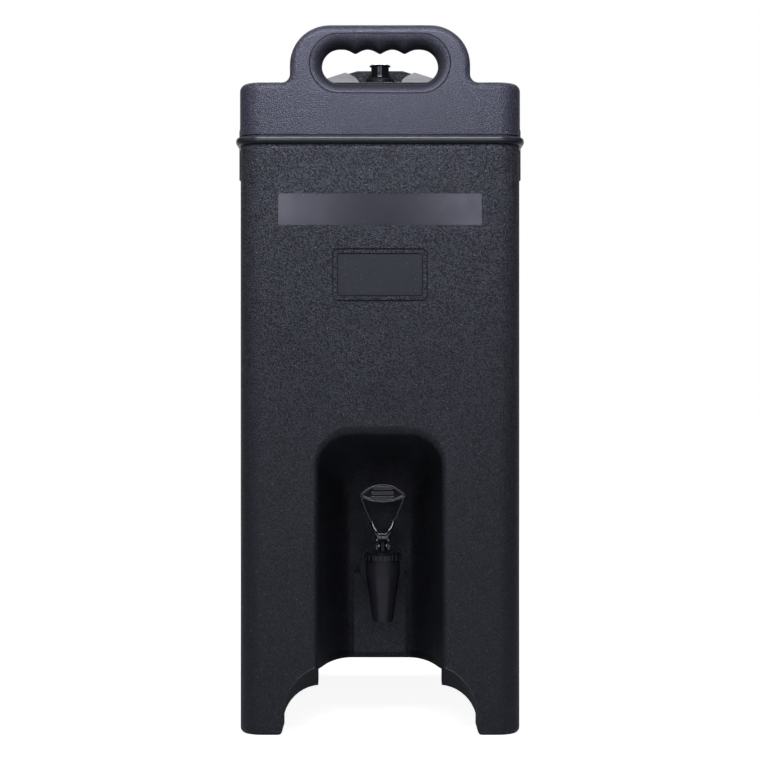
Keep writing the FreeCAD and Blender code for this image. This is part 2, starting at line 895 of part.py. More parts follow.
def lid_pieces():
    """The lid's top shell, its tray, the insulation between them, the gasket and the vent."""
    seat = LID_LOW + S.lid_flange
    plug_width = TANK_WIDTH - S.plug_gap * 2
    plug_depth = TANK_DEPTH - S.plug_gap * 2
    plug_round = S.tank_round - S.plug_gap
    plug_low = LID_LOW - S.plug_drop
    skirt = S.deck_top + S.lid_skirt_gap
    cover = rounded_block(
        "lid_cover", LID_WIDTH, LID_DEPTH, skirt, LID_TOP - skirt, S.lid_corner
    )
    cover = fillet(
        "lid_cover_edge", cover, S.lid_edge_round, lambda edge: near(edge.BoundBox.ZMin, LID_TOP)
    )
    hump = fillet(
        "lid_hump",
        formed("lid_hump_form", hump_form()),
        S.lid_edge_round * 0.6,
        lambda edge: edge.BoundBox.ZMin > float(LID_TOP) + 1 or edge.BoundBox.ZLength > float(S.lid_rim) / 2,
    )
    keepers = []
    for word, side, y in latch_spots():
        low_x, high_x = across(side, LID_WIDTH / 2 - S.lid_wall, LID_WIDTH / 2 + S.keeper_out)
        keepers.append(
            box(
                "keeper_" + word,
                (low_x, y - HOOK_HALF, S.keeper_low),
                (high_x, y + HOOK_HALF, S.keeper_low + S.keeper_height),
            )
        )
    boss = cone(
        "vent_boss", S.boss_radius + 2, S.boss_radius, S.boss_top - LID_TOP + 1, z=LID_TOP - 1
    )
    inner_width, inner_depth = LID_WIDTH - S.lid_wall * 2, LID_DEPTH - S.lid_wall * 2
    inner_round = S.lid_corner - S.lid_wall
    under_top = LID_TOP - S.lid_wall
    under_skirt = rounded_block(
        "under_lid_skirt", inner_width, inner_depth, skirt - 1, under_top - skirt + 1, inner_round
    )
    wall = float(S.lid_wall)
    hump_inside = hump_form(wall * 0.6)
    hump_inside.translate(Vector(0, 0, -wall * 1.03))
    hump_hollow = cut(
        "hump_hollow",
        formed("hump_inside", hump_inside),
        formed("valley_walls", valley_form(wall)),
    )
    inside = fuse(
        "lid_inside",
        rounded_block(
            "lid_rim_inside", inner_width, inner_depth, seat, under_top - seat, inner_round
        ),
        hump_hollow,
    )
    valley = formed("lid_valley", valley_form())
    bore = rod("vent_hole", S.vent_bore, S.boss_top - seat + 2, z=seat - 1)
    raised = cut("raised_lid", fuse("lid_form", cover, hump, *keepers), valley)
    shell = cut("lid_shell", fuse("lid_with_boss", raised, boss), bore, under_skirt, hump_hollow)
    plate = rounded_block(
        "tray_flange", inner_width, inner_depth, LID_LOW, S.lid_flange, inner_round
    )
    plug = rounded_block(
        "tray_plug", plug_width, plug_depth, plug_low, S.plug_drop + S.lid_flange, plug_round
    )
    plug_inside = rounded_block(
        "tray_inside",
        plug_width - S.lid_wall * 2,
        plug_depth - S.lid_wall * 2,
        plug_low + S.lid_wall,
        seat - plug_low - S.lid_wall,
        plug_round - S.lid_wall,
    )
    tube_radius = S.vent_bore + 1.5
    tube_height = LID_TOP - S.lid_wall - plug_low
    tube_outside = rod("vent_tube_outside", tube_radius, tube_height, z=plug_low)
    tube_inside = rod("vent_tube_inside", S.vent_bore - 1.5, tube_height + 2, z=plug_low - 1)
    tray = cut("lid_tray", fuse("tray_form", plate, plug), plug_inside, tube_outside)
    foam = cut("lid_insulation", fuse("lid_insulation_form", inside, plug_inside), tube_outside)
    tube = cut("vent_tube", tube_outside, tube_inside)
    gasket_form = rounded_block(
        "gasket_form",
        TANK_WIDTH + (S.gasket_width + S.gasket_gap) * 2,
        TANK_DEPTH + (S.gasket_width + S.gasket_gap) * 2,
        TANK_RIM,
        S.gasket_thickness,
        S.tank_round + S.gasket_width,
    )
    gasket_hole = rounded_block(
        "gasket_hole",
        TANK_WIDTH + S.gasket_gap * 2,
        TANK_DEPTH + S.gasket_gap * 2,
        TANK_RIM - 1,
        S.gasket_thickness + 2,
        S.tank_round,
    )
    gasket = cut("lid_gasket", gasket_form, gasket_hole)
    seal_radius = S.boss_radius - 1
    seal = cut(
        "vent_seal",
        rod("vent_seal_disc", seal_radius, S.vent_seal_thickness, z=S.boss_top),
        rod("vent_seal_hole", S.vent_bore, S.vent_seal_thickness + 2, z=S.boss_top - 1),
    )
    return [shell, tray, foam, tube, gasket, seal, vent_cap()]


def vent_cap():
    """The push-pull vent cap: a hollow stem, a base flange, a neck and a thin domed top."""
    low = S.boss_top + S.vent_seal_thickness
    top = low + S.vent_cap_height
    stem = S.vent_bore - S.vent_clearance
    bore = stem - 2
    rim = top - 1.6
    points = [
        (bore, low - S.vent_stem),
        (stem, low - S.vent_stem),
        (stem, low),
        (S.vent_base_radius, low),
        (S.vent_base_radius, low + 1.5),
        (S.vent_neck_radius, low + 2),
        (S.vent_neck_radius - 0.3, rim - 1.6),
        (S.vent_cap_radius, rim - 0.8),
        (S.vent_cap_radius, rim),
        (S.vent_cap_radius - 2.5, top - 0.5),
        (S.vent_cap_radius - 5.5, top),
        (0, top),
        (0, low + 2),
        (bore, low + 2),
    ]
    return turned_body("vent_cap", points)


# tap


def tap_pieces():
    """The tap: body with shank and spout, bonnet, stem with its seat cup, lever and pin."""
    x, y = S.tap_side, FRONT + S.tap_out
    spout = turned_body(
        "spout_and_barrel",
        [
            (S.spout_bore, S.spout_low),
            (S.spout_radius, S.spout_low),
            (S.barrel_radius - 0.4, S.barrel_low - 2),
            (S.barrel_radius, S.barrel_low),
            (S.barrel_radius, S.barrel_top),
            (S.chamber_radius, S.barrel_top),
            (S.chamber_radius, SEAT_HEIGHT),
            (S.spout_bore, SEAT_HEIGHT),
        ],
        x,
        y,
    )
    tank_face = -TANK_FRONT
    shank_end = tank_face + S.washer_thickness + S.nut_thickness + 4
    shank_start = y + S.chamber_radius + 1.5
    shank = rod(
        "shank", S.shank_radius, shank_end - shank_start, x, shank_start, S.shank_height, BACK
    )
    flange_face = PAD_FACE - S.washer_thickness
    flange = rod(
        "shank_flange",
        S.flange_radius,
        S.flange_thickness,
        x,
        flange_face - S.flange_thickness,
        S.shank_height,
        BACK,
    )
    shank_bore = rod(
        "shank_bore", S.shank_bore, shank_end - y, x, y + 1, S.shank_height, BACK
    )
    body = cut("tap_body", fuse("tap_form", spout, shank, flange), shank_bore)
    snug = S.shank_radius + S.slide_clearance

    def shank_ring(name, radius, start, thickness):
        disc = rod(name + "_disc", radius, thickness, x, start, S.shank_height, BACK)
        hole = rod(name + "_hole", snug, thickness + 2, x, start - 1, S.shank_height, BACK)
        return cut(name, disc, hole)

    outer_washer = shank_ring("outer_washer", S.washer_radius, flange_face, S.washer_thickness)
    inner_washer = shank_ring("inner_washer", S.washer_radius - 1, tank_face, S.washer_thickness)
    nut_start = tank_face + S.washer_thickness
    nut_form = shank_ring("lock_nut_form", S.nut_radius, nut_start, S.nut_thickness)
    flat = S.nut_radius * 0.88
    nut_hex = formed("lock_nut_hex", hex_prism(float(flat), float(nut_start), float(S.nut_thickness)))
    nut = common("shank_lock_nut", nut_form, nut_hex)

    hole = S.stem_radius + S.slide_clearance
    plug_low = S.barrel_top - S.bonnet_plug
    bonnet_form = turned_body(
        "bonnet_form",
        [
            (hole, plug_low),
            (S.chamber_radius - S.slide_clearance, plug_low),
            (S.chamber_radius - S.slide_clearance, S.barrel_top),
            (S.bonnet_radius, S.barrel_top),
            (S.bonnet_radius, S.bonnet_top - 2.5),
            (S.bonnet_radius - 2, S.bonnet_top),
            (hole, S.bonnet_top),
        ],
        x,
        y,
    )
    bonnet = cut("bonnet", bonnet_form, formed("bonnet_knurl", knurl_form(float(x), float(y))))

    cup_top = SEAT_HEIGHT + CUP_HEIGHT
    socket = SEAT_HEIGHT + 3
    cup = cut(
        "seat_cup",
        rod(
            "cup_form", S.chamber_radius - S.cup_clearance, CUP_HEIGHT, x, y, SEAT_HEIGHT
        ),
        rod("cup_socket", S.stem_radius, CUP_HEIGHT, x, y, socket),
    )
    pin_start = x - S.fork_width / 2
    pin = rod(
        "lever_pin", S.pivot_radius, S.fork_width, pin_start, y, S.pivot_height, RIGHT
    )
    pin_hole = rod(
        "pin_hole",
        S.pivot_radius + S.pivot_clearance,
        S.yoke_width,
        x - S.yoke_width / 2,
        y,
        S.pivot_height,
        RIGHT,
    )
    stem = cut(
        "tap_stem",
        rod("stem_form", S.stem_radius, S.stem_top - socket, x, y, socket),
        pin_hole,
    )
    lever = tap_lever(x, y, pin_hole)
    return [body, outer_washer, inner_washer, nut, bonnet, cup, stem, pin, lever]


def hex_prism(flat, start, thickness):
    """A six-sided prism along Y about the shank's axis."""
    reach = flat / math.cos(math.radians(30))
    centre = Vector(float(S.tap_side), start, float(S.shank_height))
    corners = []
    for number in range(7):
        angle = math.radians(60 * number)
        corners.append(centre + Vector(reach * math.cos(angle), 0, reach * math.sin(angle)))
    return Part.Face(Part.makePolygon(corners)).extrude(Vector(0, thickness, 0))


def knurl_form(x, y):
    """The grip grooves round the bonnet."""
    count = 24
    depth = float(S.bonnet_knurl)
    grooves = []
    for number in range(count):
        angle = 2 * math.pi * number / count
        reach = float(S.bonnet_radius) + depth * 0.4
        spot = Vector(x + reach * math.cos(angle), y + reach * math.sin(angle), float(S.barrel_top) - 1)
        grooves.append(Part.makeCylinder(depth, float(S.bonnet_top - S.barrel_top) + 2, spot))
    return Part.makeCompound(grooves)


def tap_lever(x, y, pin_hole):
    """The lever: two cam cheeks astride the stem, a yoke, two spreading arms and a lens-shaped pad."""
    cheek_low = S.bonnet_top + S.cam_gap
    bridge_low = S.pivot_height + 4.9
    half_fork, half_gap, half_depth = S.fork_width / 2, S.fork_gap / 2, S.fork_depth / 2
    cheeks = cut(
        "lever_cheeks",
        box(
            "lever_foot",
            (x - half_fork, y - half_depth, cheek_low),
            (x + half_fork, y + half_depth, S.yoke_bottom + 1),
        ),
        box(
            "lever_slot",
            (x - half_gap, y - S.fork_depth, cheek_low - 1),
            (x + half_gap, y + S.fork_depth, bridge_low),
        ),
    )
    wide, narrow = S.head_width / 2 - 2.1, S.yoke_width / 2
    inner_low = S.yoke_bottom + 4
    arm_top = S.head_ends - 1.5
    arms = outline_body(
        "lever_arms_form",
        "XZ_Plane",
        [
            (x - narrow, S.yoke_bottom),
            (x + narrow, S.yoke_bottom),
            (x + wide, arm_top),
            (x - wide, arm_top),
        ],
        y - S.arm_depth / 2,
        S.arm_depth,
    )
    gap_low, gap_high = narrow - 3.2, wide - S.arm_width
    window = outline_body(
        "lever_window",
        "XZ_Plane",
        [
            (x - gap_low, inner_low),
            (x + gap_low, inner_low),
            (x + gap_high, arm_top + 1),
            (x - gap_high, arm_top + 1),
        ],
        y - S.arm_depth,
        S.arm_depth * 2,
    )
    lever = fuse("lever_form", cheeks, cut("lever_arms", arms, window), lever_head(x, y))
    return cut("tap_lever", lever, pin_hole)


def lens(name, x, start, depth, inset):
    """A lens with a high upper arc and a shallow lower one, smaller by inset all round."""
    half = float(S.head_width) / 2
    rise = float(S.head_top - S.head_ends)
    sink = float(S.head_ends - S.head_bottom)
    upper = (half * half + rise * rise) / (2 * rise)
    lower = (half * half + sink * sink) / (2 * sink)
    return common(
        name,
        rod(name + "_upper", upper - inset, depth, x, start, S.head_top - upper, BACK),
        rod(name + "_lower", lower - inset, depth, x, start, S.head_bottom + lower, BACK),
    )


def lever_head(x, y):
    """The lever's pad: a raised rim on both faces, and two ribs across the hollow inside it."""
    start, proud = y - S.head_depth / 2, S.head_rim_proud
    whole = lens("head_form", x, start, S.head_depth, 0)
    hollow_depth = S.head_depth - proud * 2
    core = lens("head_core", x, start + proud, hollow_depth, 0)
    rim = cut("head_rim", whole, lens("head_hollow", x, start - 1, S.head_depth + 2, S.head_rim))
    bars = []
    for number, height in enumerate((S.head_ends - 1, S.head_ends + 4.2)):
        bars.append(
            box(
                f"lever_bar_{number}",
                (x - S.head_width / 2, start, height),
                (x + S.head_width / 2, start + S.head_depth, height + 1.5),
            )
        )
    ribs = common("head_ribs", whole, fuse("head_bars", *bars))
    return fuse("lever_head", core, rim, ribs)


# latches


def screw_tools(name, gap):
    """All latch screws, or with a gap the holes that they pass through."""
    shapes = []
    face = float(BAND_WIDTH) / 2
    for word, side, y in latch_spots():
        for step in SIDES:
            spot_y = float(y) + step * float(S.screw_spacing) / 2
            spot = Vector(side * face, spot_y, float(SCREW_HEIGHT))
            inward = Vector(-side, 0, 0)
            head, radius = float(S.screw_head) + gap, float(S.screw_radius) + gap
            sink = head - radius
            shapes.append(
                Part.makeCylinder(radius, float(S.screw_length), spot, inward).fuse(
                    Part.makeCone(head, radius, sink, spot, inward)
                )
            )
    return formed(name, Part.makeCompound(shapes))


def latch_pieces():
    """Four draw latches: each has a base plate with ears, a lever with a cross bar, and a hook."""
    made = []
    face = BAND_WIDTH / 2
    pivot_x = face + S.latch_pivot_out
    pivot_z = S.latch_pivot_height
    bar_z = pivot_z - S.latch_throw
    lever_half = S.latch_width / 2 - S.latch_side_gap
    ear_outer = lever_half - S.latch_cheek - S.latch_side_gap
    ear_inner = ear_outer - S.latch_ear
    plate_out = pivot_x + S.latch_plate_gap
    pins = []
    for word, side, y in latch_spots():
        low_x, high_x = across(side, LATCH_FLOOR, face)
        plate = box(
            "latch_plate_" + word,
            (low_x, y - ear_outer, S.latch_base_low),
            (high_x, y + ear_outer, S.deck_top - 0.5),
        )
        ears, cheeks = [], []
        for end in SIDES:
            tag = f"{word}_{'a' if end < 0 else 'b'}"
            low_y, high_y = (ear_inner, ear_outer) if end > 0 else (-ear_outer, -ear_inner)
            low_x, high_x = across(side, face - 0.5, pivot_x + 3)
            ears.append(
                box(
                    "latch_ear_" + tag,
                    (low_x, y + low_y, pivot_z - 4),
                    (high_x, y + high_y, pivot_z + 4),
                )
            )
            outer = lever_half
            inner = lever_half - S.latch_cheek
            low_y = inner if end > 0 else -outer
            clear_x = face + S.bead_proud + 0.7
            cheeks.append(
                outline_body(
                    "latch_cheek_" + tag,
                    "XZ_Plane",
                    [
                        (side * (face + 0.8), S.latch_base_low - 1),
                        (side * (face + 0.8), pivot_z + 3.5),
                        (side * (plate_out + 1), pivot_z + 3.5),
                        (side * (plate_out + S.latch_plate), pivot_z),
                        (side * (plate_out + S.latch_plate), S.latch_lever_low),
                        (side * clear_x, S.latch_lever_low),
                        (side * clear_x, S.latch_base_low - 1),
                    ],
                    y + low_y,
                    S.latch_cheek,
                )
            )
            pin_start = ear_inner if end > 0 else -lever_half
            pins.append(
                rod(
                    "latch_pin_" + tag,
                    S.latch_pin_radius,
                    lever_half - ear_inner,
                    side * pivot_x,
                    y + pin_start,
                    pivot_z,
                    BACK,
                )
            )
        bore = rod(
            "latch_bore_" + word,
            S.latch_pin_radius + S.latch_clearance,
            S.latch_width + 2,
            side * pivot_x,
            y - S.latch_width / 2 - 1,
            pivot_z,
            BACK,
        )
        base = cut(
            "latch_base_" + word,
            fuse("latch_base_form_" + word, plate, *ears),
            bore,
            screw_tools("latch_screw_holes_" + word, 0.05),
        )
        low_x, high_x = across(side, plate_out, plate_out + S.latch_plate)
        front = fillet(
            "latch_front_" + word,
            box(
                "latch_front_plate_" + word,
                (low_x, y - lever_half, S.latch_lever_low),
                (high_x, y + lever_half, bar_z - 5),
            ),
            S.latch_edge_round,
            lambda edge: near(abs(middle(edge).x), plate_out + S.latch_plate)
            and not near(edge.BoundBox.ZMin, bar_z - 5),
        )
        bar = rod(
            "latch_bar_" + word,
            S.latch_bar_radius,
            (lever_half - 1) * 2,
            side * pivot_x,
            y - lever_half + 1,
            bar_z,
            BACK,
        )
        lever = cut(
            "latch_lever_" + word, fuse("latch_lever_form_" + word, front, bar, *cheeks), bore
        )
        made += [base, lever, latch_hook(word, side, y, pivot_x, bar_z)]
    made.append(fuse_apart("latch_pins", pins))
    made.append(screw_tools("latch_screws", 0.0))
    return made


def fuse_apart(name, pieces):
    """Identical fasteners as one group of separate solids."""
    doc.recompute()
    return formed(name, Part.makeCompound([piece.Shape.copy() for piece in pieces]))


def latch_hook(word, side, y, pivot_x, bar_z):
    """The hook: a knuckle round the lever's bar, an upright plate, and a tip over the keeper."""
    half = HOOK_HALF
    low_x, high_x = across(side, pivot_x - S.hook_thickness / 2, pivot_x + S.hook_thickness / 2)
    tip_low = S.keeper_low + S.keeper_height + S.keeper_gap
    stem = box(
        "hook_stem_" + word,
        (low_x, y - half, bar_z),
        (high_x, y + half, tip_low + S.hook_tip),
    )
    tip_x = across(side, LID_WIDTH / 2 + S.keeper_gap, pivot_x)
    tip = box(
        "hook_tip_" + word,
        (tip_x[0], y - half, tip_low),
        (tip_x[1], y + half, tip_low + S.hook_tip),
    )
    knuckle = rod("hook_knuckle_" + word, 3.1, half * 2, side * pivot_x, y - half, bar_z, BACK)
    bore = rod(
        "hook_bore_" + word,
        S.latch_bar_radius + S.latch_clearance,
        half * 2 + 2,
        side * pivot_x,
        y - half - 1,
        bar_z,
        BACK,
    )
    return cut("latch_hook_" + word, fuse("hook_form_" + word, stem, tip, knuckle), bore)


def main():
    pieces = body_pieces() + lid_pieces() + tap_pieces() + latch_pieces()
    doc.recompute()
    for thing in doc.Objects:
        if "Invalid" in thing.State or "Error" in thing.State:
            raise RuntimeError(f"{thing.Name} did not build: {thing.State}")
    for piece in pieces:
        piece.Label = piece.Name
        if piece.Shape.isNull() or not piece.Shape.isValid():
            raise RuntimeError(f"{piece.Name} has no valid shape")
    os.makedirs("parts", exist_ok=True)
    for piece in pieces:
        piece.Shape.exportStep(f"parts/{piece.Label}.step")
        print(f"{piece.Label}: {piece.Shape.Volume / 1000:.2f} cm3, {len(piece.Shape.Solids)} solids")


main()
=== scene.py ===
import bpy
import math
import numpy as np
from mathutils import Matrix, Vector


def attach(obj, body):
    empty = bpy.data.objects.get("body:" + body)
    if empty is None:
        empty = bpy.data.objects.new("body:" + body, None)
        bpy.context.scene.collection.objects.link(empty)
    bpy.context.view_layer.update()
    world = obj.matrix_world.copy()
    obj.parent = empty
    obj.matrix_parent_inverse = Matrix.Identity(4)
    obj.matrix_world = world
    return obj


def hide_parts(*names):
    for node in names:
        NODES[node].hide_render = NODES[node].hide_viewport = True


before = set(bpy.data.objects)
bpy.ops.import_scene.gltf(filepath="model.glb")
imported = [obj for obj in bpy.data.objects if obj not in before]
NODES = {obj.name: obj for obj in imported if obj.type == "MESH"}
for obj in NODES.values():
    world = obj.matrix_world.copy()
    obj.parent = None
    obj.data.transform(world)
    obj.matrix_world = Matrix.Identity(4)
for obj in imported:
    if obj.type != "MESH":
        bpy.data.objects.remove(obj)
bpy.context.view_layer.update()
MM = 0.001


# node helpers


class Nodes:
    """Adds nodes to a tree and links them, eight to a row."""

    def __init__(self, tree):
        self.tree = tree
        self.count = 0

    def add(self, kind, **values):
        node = self.tree.nodes.new(kind)
        self.count += 1
        column, row = self.count % 8, self.count // 8
        node.location = (column * 220, -row * 260)
        for name, value in values.items():
            setattr(node, name, value)
        return node

    def link(self, source, target):
        self.tree.links.new(source, target)

    def feed(self, socket, value):
        """Links an output to a socket, or sets the socket's own value."""
        if isinstance(value, bpy.types.NodeSocket):
            self.link(value, socket)
        else:
            socket.default_value = value

    def math(self, operation, first, second=0.0):
        node = self.add("ShaderNodeMath", operation=operation)
        self.feed(node.inputs[0], first)
        self.feed(node.inputs[1], second)
        return node.outputs[0]

    def times(self, product, *others):
        """The product of two or more numbers."""
        for other in others:
            product = self.math("MULTIPLY", product, other)
        return product

    def most(self, largest, *others):
        """The largest of two or more numbers."""
        for other in others:
            largest = self.math("MAXIMUM", largest, other)
        return largest

    def plus(self, first, second):
        return self.math("ADD", first, second)

    def minus(self, first, second):
        return self.math("SUBTRACT", first, second)

    def rest(self, value):
        """What a number leaves of 1."""
        return self.math("SUBTRACT", 1.0, value)

    def size(self, value):
        return self.math("ABSOLUTE", value)

    def length(self, first, second):
        """The length of a line that goes this far along two axes."""
        squares = self.plus(self.times(first, first), self.times(second, second))
        return self.math("SQRT", squares)

    def split(self, vector):
        """The X, Y and Z of a vector."""
        node = self.add("ShaderNodeSeparateXYZ")
        self.link(vector, node.inputs[0])
        return tuple(node.outputs)

    def span(self, value, low, high, to_low=0.0, to_high=1.0, smooth=True):
        """Maps a number from one range to another, clamped, with soft ends."""
        node = self.add("ShaderNodeMapRange")
        node.interpolation_type = "SMOOTHSTEP" if smooth else "LINEAR"
        for socket, amount in zip(node.inputs[:5], (value, low, high, to_low, to_high)):
            self.feed(socket, amount)
        return node.outputs[0]

    def fall(self, value, low, high):
        """1 up to the low end of a range, falling to 0 at its high end."""
        return self.span(value, low, high, 1.0, 0.0)

    def near(self, value, middle, inner, outer):
        """1 within the inner distance of a middle, falling to 0 at the outer one."""
        return self.fall(self.size(self.minus(value, middle)), inner, outer)

    def noise(self, vector, scale, detail=2.0, rough=0.5):
        node = self.add("ShaderNodeTexNoise")
        self.feed(node.inputs["Vector"], vector)
        self.feed(node.inputs["Scale"], scale)
        self.feed(node.inputs["Detail"], detail)
        self.feed(node.inputs["Roughness"], rough)
        return node.outputs["Fac"]

    def cells(self, vector, scale):
        """A cell pattern: its node gives each cell a colour and the distance to its middle."""
        node = self.add("ShaderNodeTexVoronoi")
        self.feed(node.inputs["Vector"], vector)
        self.feed(node.inputs["Scale"], scale)
        return node

    def mixed(self, share, first, second):
        """A number between two numbers."""
        node = self.add("ShaderNodeMix", data_type="FLOAT")
        self.feed(node.inputs[0], share)
        self.feed(node.inputs[2], first)
        self.feed(node.inputs[3], second)
        return node.outputs[0]

    def mix(self, share, first, second):
        """A colour between two colours."""
        node = self.add("ShaderNodeMix", data_type="RGBA")
        self.feed(node.inputs[0], share)
        self.feed(node.inputs[6], first)
        self.feed(node.inputs[7], second)
        return node.outputs[2]

    def stretched(self, vector, scale):
        node = self.add("ShaderNodeMapping")
        self.feed(node.inputs["Vector"], vector)
        self.feed(node.inputs["Scale"], scale)
        return node.outputs[0]

    def group(self, tree, **values):
        node = self.add("ShaderNodeGroup")
        node.node_tree = tree
        for name, value in values.items():
            self.feed(node.inputs[name], value)
        return node


def colour(red, green, blue):
    return (red, green, blue, 1.0)


BLACK = colour(0.0, 0.0, 0.0)
WHITE = colour(1.0, 1.0, 1.0)


# effects shared by the materials


VALUE, COLOUR, VECTOR = "NodeSocketFloat", "NodeSocketColor", "NodeSocketVector"


def effect(name, inputs, outputs):
    """A shader node group with named sockets, and what goes into it and comes out of it."""
    tree = bpy.data.node_groups.new(name, "ShaderNodeTree")
    for label, kind, default in inputs:
        socket = tree.interface.new_socket(name=label, in_out="INPUT", socket_type=kind)
        if default is not None:
            socket.default_value = default
    for label, kind in outputs:
        tree.interface.new_socket(name=label, in_out="OUTPUT", socket_type=kind)
    n = Nodes(tree)
    return tree, n, n.add("NodeGroupInput").outputs, n.add("NodeGroupOutput").inputs


def make_grain():
    """Leathery mould grain: fine pebbles of uneven height over a fainter, coarser set."""
    sockets = [("Vector", VECTOR, None), ("Scale", VALUE, 800.0)]
    tree, n, given, out = effect("mould_grain", sockets, [("Height", VALUE)])
    fine = n.noise(given["Vector"], given["Scale"], detail=1.0)
    coarse = n.noise(given["Vector"], n.times(given["Scale"], 0.5), detail=1.0)
    faint = n.times(n.span(coarse, 0.25, 0.75), 0.25)
    n.feed(out["Height"], n.plus(n.span(fine, 0.25, 0.75), faint))
    return tree


def make_specks():
    """Pale specks: one small dot in each of a share of the cells, of uneven size and brightness."""
    sockets = [("Vector", VECTOR, None), ("Scale", VALUE, 300.0), ("Share", VALUE, 0.1)]
    tree, n, given, out = effect("pale_specks", sockets, [("Mask", VALUE)])
    dot = n.cells(given["Vector"], given["Scale"])
    parts = n.add("ShaderNodeSeparateColor")
    n.link(dot.outputs["Color"], parts.inputs[0])
    draw, width, strength = parts.outputs
    chosen = n.math("LESS_THAN", draw, given["Share"])
    reach = n.span(width, 0.0, 1.0, 0.07, 0.2)
    inside = n.fall(n.math("DIVIDE", dot.outputs["Distance"], reach), 0.5, 1.0)
    bright = n.span(strength, 0.0, 1.0, 0.25, 1.0)
    n.feed(out["Mask"], n.times(inside, chosen, bright))
    return tree


def make_scuffs():
    """Fine handling marks, here and there: thin lines where a noise stretched one way is at its middle."""
    sockets = [("Vector", VECTOR, None), ("Amount", VALUE, 0.5)]
    tree, n, given, out = effect("fine_scuffs", sockets, [("Mask", VALUE)])
    masks = []
    for stretch in ((40.0, 40.0, 320.0), (260.0, 40.0, 60.0)):
        lines = n.noise(n.stretched(given["Vector"], stretch), 1.0, detail=3.0, rough=0.6)
        masks.append(n.near(lines, 0.5, 0.0, 0.006))
    where = n.span(n.noise(given["Vector"], 14.0, detail=2.0, rough=0.6), 0.52, 0.66)
    n.feed(out["Mask"], n.times(n.most(*masks), where, given["Amount"]))
    return tree


def make_drift():
    """Slow uneven tone: lightens and darkens a colour in soft patches."""
    sockets = [("Vector", VECTOR, None), ("Colour", COLOUR, None), ("Amount", VALUE, 0.1)]
    tree, n, given, out = effect("tone_drift", sockets, [("Colour", COLOUR)])
    patches = n.noise(given["Vector"], 9.0, detail=4.0, rough=0.6)
    shift = n.times(n.minus(patches, 0.5), given["Amount"])
    bright = n.add("ShaderNodeHueSaturation")
    n.feed(bright.inputs["Color"], given["Colour"])
    n.feed(bright.inputs["Value"], n.plus(shift, 1.0))
    n.feed(out["Colour"], bright.outputs[0])
    return tree


GRAIN = make_grain()
SPECKS = make_specks()
SCUFFS = make_scuffs()
DRIFT = make_drift()


# plastics


SHELL_TINT = colour(0.0243, 0.0247, 0.0310)
LID_TINT = colour(0.0095, 0.0098, 0.0125)
LINER_TINT = colour(0.021, 0.021, 0.024)
PLASTIC_SHEEN = colour(0.88, 0.90, 1.0)
GLOSS_SHEEN = colour(0.90, 0.88, 1.0)
WORN = colour(0.17, 0.18, 0.21)
# tint of the band's painted sheen
BAND_SHEEN_VIOLET = colour(1.03, 0.98, 1.10)
DUST = colour(0.2, 0.2, 0.21)


def material(name):
    """A new material with its nodes, its shader and the object's own coordinates."""
    made = bpy.data.materials.new(name)
    made.use_nodes = True
    n = Nodes(made.node_tree)
    shader = made.node_tree.nodes["Principled BSDF"]
    spot = n.add("ShaderNodeTexCoord").outputs["Object"]
    return made, n, shader, spot


def bumped(n, shader, height, distance):
    """Raises and lowers the surface by a height, times a distance in metres."""
    bump = n.add("ShaderNodeBump")
    bump.inputs["Strength"].default_value = 1.0
    bump.inputs["Distance"].default_value = distance
    n.link(height, bump.inputs["Height"])
    n.link(bump.outputs[0], shader.inputs["Normal"])


def source(socket):
    """The output that already feeds a socket."""
    return socket.links[0].from_socket


def inside_box(n, spot, low, high, soft):
    """1 inside an upright box in the object's own coordinates, 0 outside it."""
    masks = []
    for place, start, end in zip(n.split(spot), low, high):
        half = (end - start) / 2
        masks.append(n.near(place, (start + end) / 2, half - soft, half + soft))
    return n.times(*masks)


def moulded_plastic(name, tint, rough, specks):
    """Near-black moulded plastic: uneven sheen, pale specks that thin out upwards, and light scuffs."""
    made, n, shader, spot = material(name)
    shader.inputs["Specular IOR Level"].default_value = 0.45
    shader.inputs["Specular Tint"].default_value = PLASTIC_SHEEN
    base = n.group(DRIFT, Vector=spot, Colour=tint, Amount=0.3).outputs["Colour"]
    high = n.split(spot)[2]
    share = n.span(high, 0.10, 0.52, specks, specks * 0.2)
    dust = n.group(SPECKS, Vector=spot, Scale=430.0, Share=share).outputs["Mask"]
    scuffs = n.group(SCUFFS, Vector=spot, Amount=0.25).outputs["Mask"]
    n.feed(shader.inputs["Base Color"], n.mix(n.most(dust, scuffs), base, WORN))
    patches = n.noise(spot, 30.0, detail=3.0, rough=0.6)
    n.feed(shader.inputs["Roughness"], n.span(patches, 0.3, 0.7, rough - 0.03, rough + 0.03))
    return made, n, shader, spot


# the body's plastic, with its places in metres


BEAD_LOW, BAND_LOW = 0.5120, 0.5190
BELOW_BEAD, OVER_BEAD = 0.5106, 0.5198
BEAD_UNDER = (0.5144, 0.5154)
GRIP = {"middle": 0.58205, "straight": 0.03525, "radius": 0.02575, "shade": 0.0070}
GRIP_LINE, GRIP_FACE = 0.0007, (0.203, 0.205)
SCRATCH_SLOPE = (0.804, 0.0, 0.595)
SCRATCH_BOX = ((0.06, -0.22, 0.533), (0.105, -0.20, 0.574))
SCRATCHES = ((0.3959, 1.0), (0.3992, 0.5), (0.4065, 0.4))
ARCH_TOP, ARCH_FOOT = (0.0588, 0.0602), (0.002, 0.006)
ARCH_SIDE, ARCH_UNDER, ARCH_EDGE = (0.090, 0.096), (0.2080, 0.2090), 0.2094
BADGE = {"middle": 0.399, "width": 0.083, "height": 0.046, "border": 0.0041, "corner": 0.005}
BADGE_GROOVE, FRONT = 0.0013, (-0.2, -0.19)
BADGE_FACE = ((-0.0373, -0.212, 0.3803), (0.0373, -0.208, 0.4177))
TAP_PAD = ((-0.0243, -0.145, 0.0), (0.0223, -0.09, 0.172))


